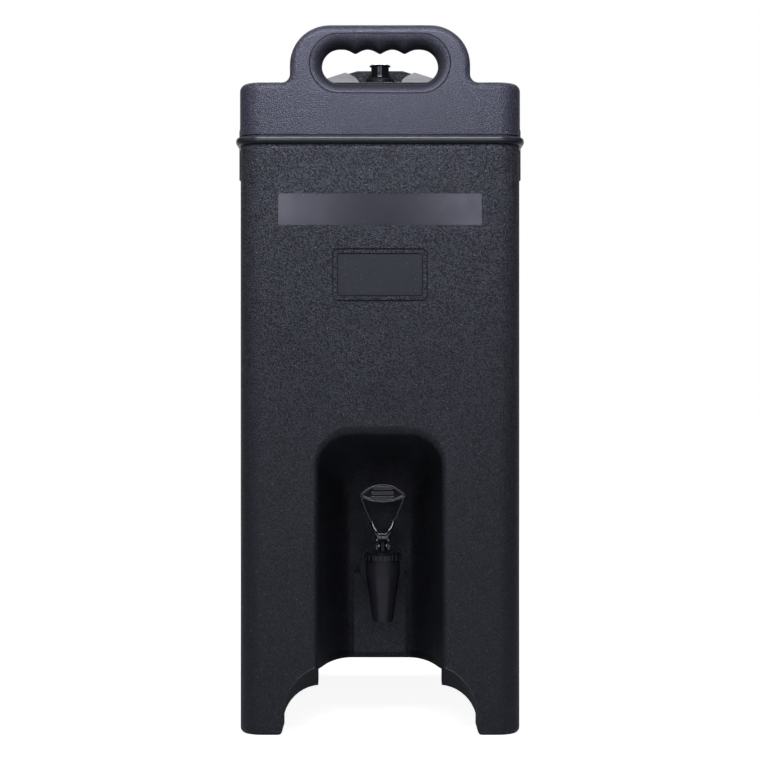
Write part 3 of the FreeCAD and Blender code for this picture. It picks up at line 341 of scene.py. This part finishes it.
def grip_line(n, spot):
    """The fine line cut round each grip opening, a level oval of two half rounds.

    Gives 1 on the line, and a second value that is 1 from the line outwards and falls to 0 within it.
    """
    x, y, z = n.split(spot)
    side = n.most(n.minus(n.size(x), GRIP["straight"]), 0.0)
    up = n.minus(z, GRIP["middle"])
    off = n.minus(n.length(side, up), GRIP["radius"])
    line = n.fall(n.size(off), 0.0, GRIP_LINE)
    on_the_face = n.span(n.size(y), *GRIP_FACE)
    return n.times(line, on_the_face), n.span(off, -GRIP["shade"], 0.0)


def badge_groove(n, aside, above, inset):
    """1 in a groove that runs round the badge, this far in from its rim.

    The distance to a rounded rectangle is that to a smaller one with sharp corners, less the radius.
    """
    radius = BADGE["corner"] - inset / 2
    out_x = n.minus(aside, BADGE["width"] / 2 - inset - radius)
    out_z = n.minus(above, BADGE["height"] / 2 - inset - radius)
    past = n.length(n.most(out_x, 0.0), n.most(out_z, 0.0))
    inner = n.math("MINIMUM", n.most(out_x, out_z), 0.0)
    return n.near(n.plus(past, inner), radius, BADGE_GROOVE * 0.3, BADGE_GROOVE * 0.6)


def badge_lines(n, spot):
    """1 in the two grooves that frame the blank badge on the front."""
    x, y, z = n.split(spot)
    aside, above = n.size(x), n.size(n.minus(z, BADGE["middle"]))
    outer = badge_groove(n, aside, above, BADGE_GROOVE / 2)
    inner = badge_groove(n, aside, above, BADGE["border"] + BADGE_GROOVE / 2)
    return n.times(n.most(outer, inner), n.fall(y, *FRONT))


def arch_painted_shade_and_highlight(n, spot):
    """Painted shade on the under side of the front and back arches, and a painted highlight on the fine
    line along their edge.
    """
    x, y, z = n.split(spot)
    depth = n.size(y)
    upright = n.times(n.fall(z, *ARCH_TOP), n.span(z, *ARCH_FOOT))
    inside = n.times(upright, n.fall(n.size(x), *ARCH_SIDE))
    under = n.times(inside, n.fall(depth, *ARCH_UNDER))
    edge = n.near(depth, ARCH_EDGE, 0.0003, 0.0006)
    edge_highlight = n.plus(n.times(edge, inside, 5.0), 1.0)
    return n.times(edge_highlight, n.rest(n.times(under, 0.85)))


def scratches(n, spot):
    """1 on the few long slanted scratches at the right of the front band."""
    across = n.add("ShaderNodeVectorMath", operation="DOT_PRODUCT")
    n.link(spot, across.inputs[0])
    across.inputs[1].default_value = SCRATCH_SLOPE
    lines = []
    for place, strength in SCRATCHES:
        lines.append(n.times(n.near(across.outputs["Value"], place, 0.0, 0.0006), strength))
    area = inside_box(n, spot, *SCRATCH_BOX, 0.002)
    broken = n.span(n.noise(spot, 150.0, detail=2.0, rough=0.6), 0.38, 0.6)
    return n.times(n.most(*lines), area, broken)


def shell_masks(n, spot):
    """The marked places of the body, each 1 inside and 0 elsewhere; outside is 0 within the grips."""
    high = n.split(spot)[2]
    soft = 0.0005
    band = n.span(high, BAND_LOW - soft, BAND_LOW + soft)
    bead = n.minus(n.span(high, BEAD_LOW - soft, BEAD_LOW + soft), band)
    line, outside = grip_line(n, spot)
    return {
        "band": band,
        "bead": bead,
        "bead_under": n.times(bead, n.fall(high, *BEAD_UNDER)),
        "over_bead": n.near(high, OVER_BEAD, 0.0003, 0.0010),
        "below_bead": n.near(high, BELOW_BEAD, 0.0012, 0.0024),
        "line": line,
        "outside": outside,
        "scratches": scratches(n, spot),
        "badge": inside_box(n, spot, *BADGE_FACE, 0.0006),
        "badge_lines": badge_lines(n, spot),
        "tap_pad": inside_box(n, spot, *TAP_PAD, 0.0008),
    }


def grain_depth(n, spot, masks):
    """How deep the grain is: less low down and in the band, hardly any on the bead and in the badge."""
    x, _, high = n.split(spot)
    below = n.span(high, 0.10, 0.42, 0.45, 1.0)
    handled = n.span(n.size(x), 0.03, 0.10, 0.3, 0.5)
    plain = n.times(n.most(masks["badge"], masks["bead"]), 0.9)
    return n.times(below, n.mixed(masks["band"], 1.0, handled), n.rest(plain))


def cut_shell(n, shader, masks, grain):
    """The body's relief: the grain, less the line round the grips and the scratches."""
    cuts = n.plus(n.times(masks["line"], 1.4), n.times(masks["scratches"], 0.3))
    bumped(n, shader, n.minus(grain, cuts), 0.00050)


def set_shell_sheen(n, shader, masks):
    """Smoother on the band and bead, dull within the grips, and a soft coat on the bead's upper half."""
    polish = n.plus(n.times(masks["band"], 0.09), n.times(masks["bead"], 0.2))
    dull = n.times(n.rest(masks["outside"]), 0.5)
    rough = n.minus(source(shader.inputs["Roughness"]), polish)
    n.feed(shader.inputs["Roughness"], n.plus(rough, dull))
    shader.inputs["Coat Roughness"].default_value = 0.28
    upper_bead = n.minus(masks["bead"], masks["bead_under"])
    n.feed(shader.inputs["Coat Weight"], n.times(upper_bead, 0.5))


def painted_shade_share(n, masks):
    """How much of the body's colour is lost: painted shade under the bead, in the groove over it and in
    the grooves round the badge, and the badge a little darker.
    """
    return n.most(
        n.times(masks["bead_under"], 0.8),
        n.times(masks["over_bead"], 0.5),
        n.times(masks["badge_lines"], 0.85),
        n.times(masks["badge"], 0.15),
    )


def shell_tone_with_painted_light(n, spot, masks, grain_painted_light):
    """How bright the body's colour is at each spot: painted light paler upwards, a painted sheen in the
    band, painted light and shade on the grain, painted shade in the grips, round the bead and under the
    arches.
    """
    high = n.split(spot)[2]
    tone = n.times(
        # painted light: paler upwards, as if lit from above
        n.span(high, 0.10, 0.50, 0.8, 1.3),
        # painted sheen: the band paler
        n.mixed(masks["band"], 1.0, 1.62),
        # painted shade within the grip openings
        n.span(masks["outside"], 0.0, 0.8, 0.38, 1.0, smooth=False),
        # painted shade under the arches, painted highlight along their edge
        arch_painted_shade_and_highlight(n, spot),
        # painted light low on the tap pad, painted shade higher up under the recess top
        n.mixed(masks["tap_pad"], 1.0, n.span(high, 0.07, 0.16, 1.9, 0.9)),
        # painted light below the bead, offsetting the bead's shadow
        n.plus(n.times(masks["below_bead"], 0.9), 1.0),
        # painted shade under and over the bead and in the badge grooves
        n.rest(painted_shade_share(n, masks)),
        # painted light and shade on the grain
        grain_painted_light,
        # painted shade in the line cut round the grips
        n.rest(n.times(masks["line"], 0.6)),
    )
    return n.plus(tone, n.times(masks["scratches"], 3.0))


def set_shell_colour(n, shader, band, tone):
    """The plastic's colour, a little more violet in the band for its painted sheen, times the tone with
    its painted light and shade.
    """
    violet = n.mix(band, WHITE, BAND_SHEEN_VIOLET)
    tinted = n.add("ShaderNodeVectorMath", operation="MULTIPLY")
    n.link(source(shader.inputs["Base Color"]), tinted.inputs[0])
    n.link(violet, tinted.inputs[1])
    shade = n.add("ShaderNodeVectorMath", operation="SCALE")
    n.link(tinted.outputs[0], shade.inputs[0])
    n.link(tone, shade.inputs["Scale"])
    n.link(shade.outputs[0], shader.inputs["Base Color"])


def make_shell_plastic():
    """The body's plastic: leathery grain, a glossier bead, a band over it worn smooth with a painted
    sheen, and painted light and shade in its tone.
    """
    made, n, shader, spot = moulded_plastic("body_plastic", SHELL_TINT, rough=0.43, specks=0.95)
    masks = shell_masks(n, spot)
    depth = grain_depth(n, spot, masks)
    pebbles = n.group(GRAIN, Vector=spot, Scale=940.0).outputs["Height"]
    cut_shell(n, shader, masks, n.times(pebbles, depth))
    set_shell_sheen(n, shader, masks)
    # painted light on the grain: its tops lighter, its hollows darker
    grain_painted_light = n.mixed(depth, 1.0, n.span(pebbles, 0.35, 0.9, 0.25, 1.9))
    set_shell_colour(n, shader, masks["band"], shell_tone_with_painted_light(n, spot, masks, grain_painted_light))
    return made


# the other materials


STRIP_TINT = colour(0.021, 0.021, 0.030)
TAP_TINT = colour(0.0100, 0.0102, 0.0130)
SPOUT_TINT = colour(0.020, 0.020, 0.025)
LATCH_TINT = colour(0.016, 0.016, 0.018)
RUBBER_TINT = colour(0.03, 0.03, 0.032)
FOAM_TINT, FOAM_WALLS = colour(0.78, 0.70, 0.48), colour(0.6, 0.5, 0.3)
STEEL_TINT = colour(0.58, 0.58, 0.59)


def make_lid_plastic():
    """The lid's plastic: darker than the body, with a coarser grain."""
    made, n, shader, spot = moulded_plastic("lid_plastic", LID_TINT, rough=0.38, specks=0.03)
    shader.inputs["Specular IOR Level"].default_value = 0.35
    bumped(n, shader, n.group(GRAIN, Vector=spot, Scale=480.0).outputs["Height"], 0.0003)
    return made


def make_liner_plastic():
    """The tank's plastic: clean, smoother, with a shallow grain."""
    made, n, shader, spot = moulded_plastic("liner_plastic", LINER_TINT, rough=0.34, specks=0.0)
    bumped(n, shader, n.group(GRAIN, Vector=spot, Scale=520.0).outputs["Height"], 0.0002)
    return made


def make_gloss_plastic(name, tint, rough, waves, coat=0.0):
    """Hard glossy plastic with faint flow waves and a few specks of dust."""
    made, n, shader, spot = material(name)
    shader.inputs["Specular IOR Level"].default_value = 0.5
    shader.inputs["Specular Tint"].default_value = GLOSS_SHEEN
    shader.inputs["Coat Weight"].default_value = coat
    shader.inputs["Coat IOR"].default_value = 1.9
    shader.inputs["Coat Roughness"].default_value = 0.06
    base = n.group(DRIFT, Vector=spot, Colour=tint, Amount=0.3).outputs["Colour"]
    dust = n.group(SPECKS, Vector=spot, Scale=500.0, Share=0.02).outputs["Mask"]
    n.feed(shader.inputs["Base Color"], n.mix(dust, base, DUST))
    smears = n.noise(spot, 60.0, detail=3.0, rough=0.6)
    n.feed(shader.inputs["Roughness"], n.plus(n.times(smears, 0.1), rough))
    bumped(n, shader, n.noise(spot, 120.0, detail=2.0, rough=0.4), waves)
    return made


def make_rubber():
    """Dull black rubber with a fine even grain."""
    made, n, shader, spot = material("seal_rubber")
    shader.inputs["Specular IOR Level"].default_value = 0.3
    tint = n.group(DRIFT, Vector=spot, Colour=RUBBER_TINT, Amount=0.4)
    n.feed(shader.inputs["Base Color"], tint.outputs["Colour"])
    grain = n.noise(spot, 900.0, detail=2.0, rough=0.6)
    n.feed(shader.inputs["Roughness"], n.span(grain, 0.2, 0.8, 0.62, 0.8))
    bumped(n, shader, grain, 0.0001)
    return made


def make_foam():
    """Cream rigid foam: closed cells of uneven size."""
    made, n, shader, spot = material("rigid_foam")
    tint = n.group(DRIFT, Vector=spot, Colour=FOAM_TINT, Amount=0.3)
    cells = n.cells(spot, 700.0).outputs["Distance"]
    shade = n.mix(n.span(cells, 0.2, 0.7), tint.outputs["Colour"], FOAM_WALLS)
    n.feed(shader.inputs["Base Color"], shade)
    n.feed(shader.inputs["Roughness"], n.span(cells, 0.0, 1.0, 0.8, 0.95))
    bumped(n, shader, cells, 0.0004)
    return made


def make_steel():
    """Brushed steel, its marks drawn out along X."""
    made, n, shader, spot = material("pin_steel")
    shader.inputs["Metallic"].default_value = 1.0
    brushed = n.noise(n.stretched(spot, (60.0, 900.0, 900.0)), 1.0, detail=3.0, rough=0.6)
    tint = n.group(DRIFT, Vector=spot, Colour=STEEL_TINT, Amount=0.2)
    n.feed(shader.inputs["Base Color"], tint.outputs["Colour"])
    n.feed(shader.inputs["Roughness"], n.span(brushed, 0.3, 0.7, 0.24, 0.42))
    bumped(n, shader, brushed, 0.00005)
    return made


SHELL = make_shell_plastic()
LID = make_lid_plastic()
LINER = make_liner_plastic()
STRIP = make_gloss_plastic("strip_plastic", STRIP_TINT, rough=0.13, waves=0.00002)
TAP = make_gloss_plastic("tap_plastic", TAP_TINT, rough=0.04, waves=0.00004, coat=1.0)
SPOUT = make_gloss_plastic("spout_plastic", SPOUT_TINT, rough=0.26, waves=0.00010)
LATCH = make_gloss_plastic("latch_plastic", LATCH_TINT, rough=0.34, waves=0.0002)
RUBBER = make_rubber()
FOAM = make_foam()
STEEL = make_steel()

FINISH = {
    "outer_shell": SHELL,
    "inner_tank": LINER,
    "shank_spacer": LINER,
    "foam_insulation": FOAM,
    "lid_insulation": FOAM,
    "label_strip": STRIP,
    "lid_shell": LID,
    "lid_tray": LID,
    "vent_tube": LID,
    "lid_gasket": RUBBER,
    "vent_seal": RUBBER,
    "vent_cap": TAP,
    "tap_body": SPOUT,
    "bonnet": TAP,
    "tap_stem": TAP,
    "tap_lever": TAP,
    "outer_washer": RUBBER,
    "inner_washer": RUBBER,
    "seat_cup": RUBBER,
    "shank_lock_nut": LATCH,
    "lever_pin": STEEL,
    "latch_pins": STEEL,
    "latch_screws": STEEL,
}


# shading of the CAD nodes; one that FINISH leaves out is part of a latch


SHARP = math.radians(28.0)
JOINED = 0.000005


def make_smoothing():
    """Joins a mesh's loose triangles and shades it smooth, except across sharp edges."""
    tree = bpy.data.node_groups.new("smooth_shading", "GeometryNodeTree")
    tree.interface.new_socket(name="Geometry", in_out="INPUT", socket_type="NodeSocketGeometry")
    tree.interface.new_socket(name="Geometry", in_out="OUTPUT", socket_type="NodeSocketGeometry")
    n = Nodes(tree)
    first, last = n.add("NodeGroupInput"), n.add("NodeGroupOutput")
    joined = n.add("GeometryNodeMergeByDistance")
    joined.inputs["Distance"].default_value = JOINED
    faces = n.add("GeometryNodeSetShadeSmooth", domain="FACE")
    edges = n.add("GeometryNodeSetShadeSmooth", domain="EDGE")
    edges.inputs["Shade Smooth"].default_value = False
    bend = n.add("GeometryNodeInputMeshEdgeAngle")
    sharp = n.add("FunctionNodeCompare", data_type="FLOAT", operation="GREATER_THAN")
    sharp.inputs[1].default_value = SHARP
    n.link(bend.outputs["Unsigned Angle"], sharp.inputs[0])
    n.link(first.outputs[0], joined.inputs["Geometry"])
    n.link(joined.outputs[0], faces.inputs["Geometry"])
    n.link(faces.outputs[0], edges.inputs["Geometry"])
    n.link(sharp.outputs[0], edges.inputs["Selection"])
    n.link(edges.outputs[0], last.inputs[0])
    return tree


SMOOTHING = make_smoothing()

for label, node in NODES.items():
    node.data.materials.clear()
    node.data.materials.append(FINISH.get(label, LATCH))
    smooth = node.modifiers.new("smooth_shading", "NODES")
    smooth.node_group = SMOOTHING
    weighted = node.modifiers.new("weighted_normals", "WEIGHTED_NORMAL")
    weighted.keep_sharp = True


# pieces worked out as surfaces


def closed_surface(rings):
    """Corners and faces of a closed skin: each row of points is a loop, each end row a fan to its middle.

    The loops are turned over where the enclosed volume comes out negative, so that faces point outwards.
    """
    rows, columns = rings.shape[:2]
    points = np.concatenate([rings.reshape(-1, 3), rings[[0, -1]].mean(axis=1)])
    index = np.arange(rows * columns).reshape(rows, columns)
    after = np.roll(index, -1, axis=1)
    quads = np.stack([index[:-1], after[:-1], after[1:], index[1:]], axis=-1).reshape(-1, 4)
    near_end = np.stack([after[0], index[0], np.full(columns, rows * columns)], axis=-1)
    far_end = np.stack([index[-1], after[-1], np.full(columns, rows * columns + 1)], axis=-1)
    halves = np.concatenate([quads[:, [0, 1, 2]], quads[:, [0, 2, 3]], near_end, far_end])
    a, b, c = points[halves[:, 0]], points[halves[:, 1]], points[halves[:, 2]]
    faces = quads.tolist() + near_end.tolist() + far_end.tolist()
    if np.einsum("ij,ij->i", a, np.cross(b, c)).sum() < 0:
        faces = [face[::-1] for face in faces]
    return points, faces


def add_piece(name, skins, finish, body, stands_for):
    """One object from closed skins, in metres, riding on a body in place of a CAD node."""
    points, faces, count = [], [], 0
    for rings in skins:
        corners, loops = closed_surface(rings)
        points.append(corners)
        faces += [[corner + count for corner in loop] for loop in loops]
        count += len(corners)
    mesh = bpy.data.meshes.new(name)
    mesh.from_pydata(np.concatenate(points).tolist(), [], faces)
    mesh.polygons.foreach_set("use_smooth", np.ones(len(faces), dtype=bool))
    mesh.materials.append(finish)
    piece = bpy.data.objects.new(name, mesh)
    bpy.context.scene.collection.objects.link(piece)
    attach(piece, body)
    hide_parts(stands_for)
    return piece


def melted_together(piece, grain, rounds):
    """Makes one skin of a piece's overlapping skins, and softens the corners where they meet."""
    remesh = piece.modifiers.new("one_skin", "REMESH")
    remesh.mode = "VOXEL"
    remesh.voxel_size = grain
    remesh.use_smooth_shade = True
    soften = piece.modifiers.new("soft_corners", "SMOOTH")
    soften.factor = 0.5
    soften.iterations = rounds


def full_round(columns, fullness):
    """A rounded rectangle's two coordinates, -1 to 1: cosine and sine raised to the power 2 / fullness."""
    angle = np.linspace(0, 2 * np.pi, columns, endpoint=False)
    across, along = np.cos(angle), np.sin(angle)
    power = 2.0 / fullness
    return np.sign(across) * np.abs(across) ** power, np.sign(along) * np.abs(along) ** power


def bar_along(path, half_width, half_depth, fullness):
    """A bar carried along a path in the upright plane facing the front.

    At each point of the path a rounded rectangle stands square to the path: its width lies in the
    plane and its depth along Y. The half widths shrink at both ends by a quarter round.
    """
    ahead = np.gradient(path, axis=0)
    ahead /= np.linalg.norm(ahead, axis=1, keepdims=True)
    aside = np.stack([-ahead[:, 2], np.zeros(len(path)), ahead[:, 0]], axis=1)
    columns = 24
    wide, deep = full_round(columns, fullness)
    half_width = np.broadcast_to(half_width, len(path))
    run = np.concatenate([[0.0], np.linalg.norm(np.diff(path, axis=0), axis=1).cumsum()])
    to_end = np.minimum(run, run[-1] - run) / half_width
    shrink = np.sqrt(np.clip(1 - (1 - np.clip(to_end, 0.02, 1)) ** 2, 0, 1))
    rings = path[:, None, :] + aside[:, None, :] * (wide * (half_width * shrink)[:, None])[:, :, None]
    rings[:, :, 1] += deep * (half_depth * shrink)[:, None]
    return rings


# the tap's lever, in millimetres: x and y from the tap's middle, z above the ground


TAP_MIDDLE = np.array([2.4, -153.0, 0.0])
HEAD = {"half": 21.6, "top": 216.0, "ends": 204.0, "bottom": 198.0, "half_depth": 3.5, "rim": 1.7}
PRESSED = {"depth": 1.5, "slope": 0.7}
YOKE = {"steep": math.radians(66.5), "arm": 33.4, "bend": 5.0, "level": 2.6, "lowest": 169.3}
ARM = {"half_width": 1.6, "half_depth": 2.4, "wider": 1.2, "deeper": 1.6, "reach": 0.17}
CHEEK = {"edge": 0.9, "half_depth": 5.6, "bottom": 154.9, "top": 168.6, "inner": 3.8, "outer": 6.6}
PAD_RIBS = ((8.8, 211.6, 0.8), (10.0, 207.0, 0.8), (10.4, 202.6, 0.9))
PAD_RIB_DEPTH = 3.4
BRIDGE = (6.6, 167.0, 1.7, 5.6)
SKIN_GRAIN, SKIN_ROUNDS = 0.32, 3


def head_skin():
    """The lever's pad, drawn from its left end to its right one.

    At each x the section runs from a shallow lower arc to a high upper one, as a rounded
    rectangle in Y and Z. Inside a rim of even width the front and back are pressed in.
    """
    half, rise, sink = HEAD["half"], HEAD["top"] - HEAD["ends"], HEAD["ends"] - HEAD["bottom"]
    upper = (half**2 + rise**2) / (2 * rise)
    lower = (half**2 + sink**2) / (2 * sink)
    rows, columns, fullness, nearly_all = 72, 96, 4.0, 0.997
    x = half * np.sin(np.linspace(-np.pi / 2, np.pi / 2, rows)) * nearly_all
    top = HEAD["top"] - upper + np.sqrt(upper**2 - x**2)
    bottom = HEAD["bottom"] + lower - np.sqrt(lower**2 - x**2)
    deep, tall = full_round(columns, fullness)
    middle, reach = (top + bottom) / 2, (top - bottom) / 2
    z = middle[:, None] + reach[:, None] * tall
    edge = np.minimum(top[:, None] - z, z - bottom[:, None]) - HEAD["rim"]
    share = np.clip(edge / PRESSED["slope"], 0, 1)
    pressed = PRESSED["depth"] * share**2 * (3 - 2 * share)
    taper = np.sqrt(np.clip(reach / 1.6, 0, 1))[:, None]
    y = deep * (HEAD["half_depth"] * taper - pressed)
    return np.stack([np.broadcast_to(x[:, None], z.shape), y, z], axis=-1)


def level_bar(half, height, thickness, half_depth):
    """A level rib across the pad, or the bridge between the cheeks: a bar along a level line in X."""
    x = np.linspace(-half, half, 24)
    path = np.stack([x, np.zeros(len(x)), np.full(len(x), height)], axis=1)
    return bar_along(path, thickness, half_depth, fullness=2.4)


def yoke_path():
    """Down the left arm, round the yoke's bottom and up the right arm.

    The heading turns from steeply down to steeply up in two even bends with a short level
    stretch between them, and the points are the running sum of steps along it.
    """
    steep, turn = YOKE["steep"], YOKE["bend"] * YOKE["steep"]
    marks = np.cumsum([0.0, YOKE["arm"], turn, YOKE["level"], turn, YOKE["arm"]])
    run = np.linspace(0.0, marks[-1], 160)
    heading = np.interp(run, marks, [-steep, -steep, 0.0, 0.0, steep, steep])
    step = run[1]
    x = np.concatenate([[0.0], np.cumsum(np.cos(heading[1:]) * step)])
    z = np.concatenate([[0.0], np.cumsum(np.sin(heading[1:]) * step)])
    x -= x[-1] / 2
    z += YOKE["lowest"] - z.min()
    return np.stack([x, np.zeros(len(x)), z], axis=1), run / run[-1]


def yoke_skin():
    """Both arms and the yoke as one bar, carried along their path and thicker round the yoke's bottom.

    What is added is e to the minus fourth power of the way from the path's middle over a reach.
    """
    path, share = yoke_path()
    low_down = np.exp(-(((share - 0.5) / ARM["reach"]) ** 4))
    half_width = ARM["half_width"] + ARM["wider"] * low_down
    half_depth = ARM["half_depth"] + ARM["deeper"] * low_down
    return bar_along(path, half_width, half_depth, fullness=3.0)


def cheek_skin(low, high):
    """A cam cheek beside the stem, between two places on X: a rounded plate, its edges rounded over.

    Its outline in Y and Z is drawn in towards the plate's middle by edge * (1 - cos a) while it
    moves along X by edge * sin a, a quarter turn at each face.
    """
    edge, bottom, top = CHEEK["edge"], CHEEK["bottom"], CHEEK["top"]
    rows, columns, fullness = 14, 64, 3.2
    deep, tall = full_round(columns, fullness)
    outline = np.stack([deep * CHEEK["half_depth"], tall * (top - bottom) / 2], axis=1)
    angle = np.linspace(-np.pi / 2, np.pi / 2, rows)
    inset = edge * (1 - np.cos(angle))
    reach = np.linalg.norm(outline, axis=1)
    rings = outline[None] * (1 - inset[:, None] / reach[None])[:, :, None]
    side = np.where(angle < 0, low + edge, high - edge) + edge * np.sin(angle)
    x = np.broadcast_to(side[:, None], rings.shape[:2])
    return np.stack([x, rings[:, :, 0], (bottom + top) / 2 + rings[:, :, 1]], axis=-1)


def make_lever():
    """The tap's lever: pad, arms, yoke, two cheeks, ribs and bridge, melted into one moulding."""
    inner, outer = CHEEK["inner"], CHEEK["outer"]
    skins = [head_skin(), yoke_skin(), cheek_skin(-outer, -inner), cheek_skin(inner, outer)]
    skins += [level_bar(*rib, PAD_RIB_DEPTH) for rib in PAD_RIBS]
    skins.append(level_bar(*BRIDGE))
    placed = [(rings + TAP_MIDDLE) * MM for rings in skins]
    lever = add_piece("lever_moulding", placed, TAP, "tap_lever", "tap_lever")
    melted_together(lever, SKIN_GRAIN * MM, SKIN_ROUNDS)


make_lever()


# floor, light and camera


REFLECTED = 0.45
SOFT_BLUE = (0.90, 0.93, 1.0)
ROOM_LOW, ROOM_HIGH = colour(0.012, 0.012, 0.014), colour(0.04, 0.042, 0.046)
FLOOR_LOW, FLOOR_HIGH = colour(0.80, 0.80, 0.80), colour(0.82, 0.82, 0.82)
CAMERA_AWAY, CAMERA_HEIGHT, LENS = 2.010, 0.3079, 98.54


def background_share(n, behind):
    """How far a ray shows the white background.

    A camera ray always does. One in a reflection or through something does in part, where it ends
    behind the object. In front of it is the room.
    """
    paths = n.add("ShaderNodeLightPath")
    bounced = n.plus(paths.outputs["Is Glossy Ray"], paths.outputs["Is Transmission Ray"])
    return n.most(paths.outputs["Is Camera Ray"], n.times(bounced, behind))


def make_floor_material():
    """A plain pale floor that the camera sees as white, with the object's shadow left on it."""
    made, n, shader, spot = material("pale_floor")
    shader.inputs["Roughness"].default_value = 0.9
    shader.inputs["Specular IOR Level"].default_value = 0.1
    grain = n.noise(spot, 40.0)
    n.feed(shader.inputs["Base Color"], n.mix(grain, FLOOR_LOW, FLOOR_HIGH))
    away = n.add("ShaderNodeVectorMath", operation="LENGTH")
    n.link(spot, away.inputs[0])
    white = n.mix(n.span(away.outputs["Value"], 0.3, 1.4, 0.92, 1.0), BLACK, WHITE)
    share = background_share(n, n.span(n.split(spot)[1], 0.2, 1.0, 0.0, REFLECTED))
    n.feed(shader.inputs["Emission Color"], n.mix(share, BLACK, white))
    shader.inputs["Emission Strength"].default_value = 1.0
    return made


def make_floor():
    """A level square, wide enough to reach past every view."""
    half = 9.0
    corners = [(-half, -half, 0.0), (half, -half, 0.0), (half, half, 0.0), (-half, half, 0.0)]
    mesh = bpy.data.meshes.new("floor")
    mesh.from_pydata(corners, [], [(0, 1, 2, 3)])
    floor = bpy.data.objects.new("floor", mesh)
    bpy.context.scene.collection.objects.link(floor)
    mesh.materials.append(make_floor_material())


def make_world():
    """White to the camera; reflections show it in part far behind the object, and else a dim room."""
    world = bpy.data.worlds.new("studio")
    bpy.context.scene.world = world
    world.use_nodes = True
    n = Nodes(world.node_tree)
    back = world.node_tree.nodes["Background"]
    _, behind, up = n.split(n.add("ShaderNodeTexCoord").outputs["Generated"])
    overhead = n.span(up, 0.15, 0.9)
    room = n.mix(overhead, ROOM_LOW, ROOM_HIGH)
    share = background_share(n, n.span(behind, 0.6, 0.95, 0.0, REFLECTED))
    n.link(n.mix(share, room, WHITE), back.inputs[0])
    back.inputs[1].default_value = 1.0


def make_lamp(name, place, target, width, height, power):
    """A lamp of this width and height in metres and power in watts, aimed from its place at a target."""
    data = bpy.data.lights.new(name, "AREA")
    data.shape = "RECTANGLE"
    data.size = width
    data.size_y = height
    data.energy = power
    data.color = SOFT_BLUE
    lamp = bpy.data.objects.new(name, data)
    lamp.location = place
    aim = Vector(target) - Vector(place)
    lamp.rotation_euler = aim.to_track_quat("-Z", "Y").to_euler()
    bpy.context.scene.collection.objects.link(lamp)


def make_lamps():
    """Lamps before the front, above, at both sides and behind."""
    make_lamp("near_top", (-0.02, -0.45, 0.76), (0.0, -0.21, 0.42), 0.45, 0.08, 1.45)
    make_lamp("front_high", (-0.10, -1.2, 1.02), (0.0, -0.16, 0.20), 1.0, 0.30, 3.6)
    make_lamp("left_of_camera", (-0.25, -2.1, 0.64), (-0.05, -0.21, 0.45), 0.30, 0.16, 1.12)
    make_lamp("right_of_camera", (0.25, -2.1, 0.64), (0.05, -0.21, 0.45), 0.30, 0.16, 1.10)
    make_lamp("left_strip", (-0.33, -0.85, 0.50), (0.0, -0.16, 0.20), 0.10, 0.40, 0.36)
    make_lamp("right_strip", (0.33, -0.85, 0.50), (0.0, -0.16, 0.20), 0.10, 0.40, 0.18)
    make_lamp("ceiling", (0.0, 0.0, 2.4), (0.0, 0.0, 0.0), 2.2, 2.2, 4.0)
    make_lamp("back_bank", (0.0, 1.6, 1.7), (0.0, 0.2, 0.40), 1.4, 0.5, 7.4)
    make_lamp("left_side", (-1.5, -0.2, 1.9), (0.0, 0.0, 0.3), 0.8, 0.8, 2.2)
    make_lamp("right_side", (1.5, 0.1, 1.9), (0.0, 0.0, 0.3), 0.8, 0.8, 1.6)


def make_camera():
    """Level with the middle of the object, square on to its front."""
    data = bpy.data.cameras.new("camera")
    data.sensor_width = 36.0
    data.lens = LENS
    data.clip_end = 30.0
    camera = bpy.data.objects.new("camera", data)
    camera.location = (0.0, -CAMERA_AWAY, CAMERA_HEIGHT)
    camera.rotation_euler = (math.radians(90.0), 0.0, 0.0)
    bpy.context.scene.collection.objects.link(camera)
    bpy.context.scene.camera = camera


make_floor()
make_world()
make_lamps()
make_camera()

scene = bpy.context.scene
scene.view_settings.view_transform = "Standard"
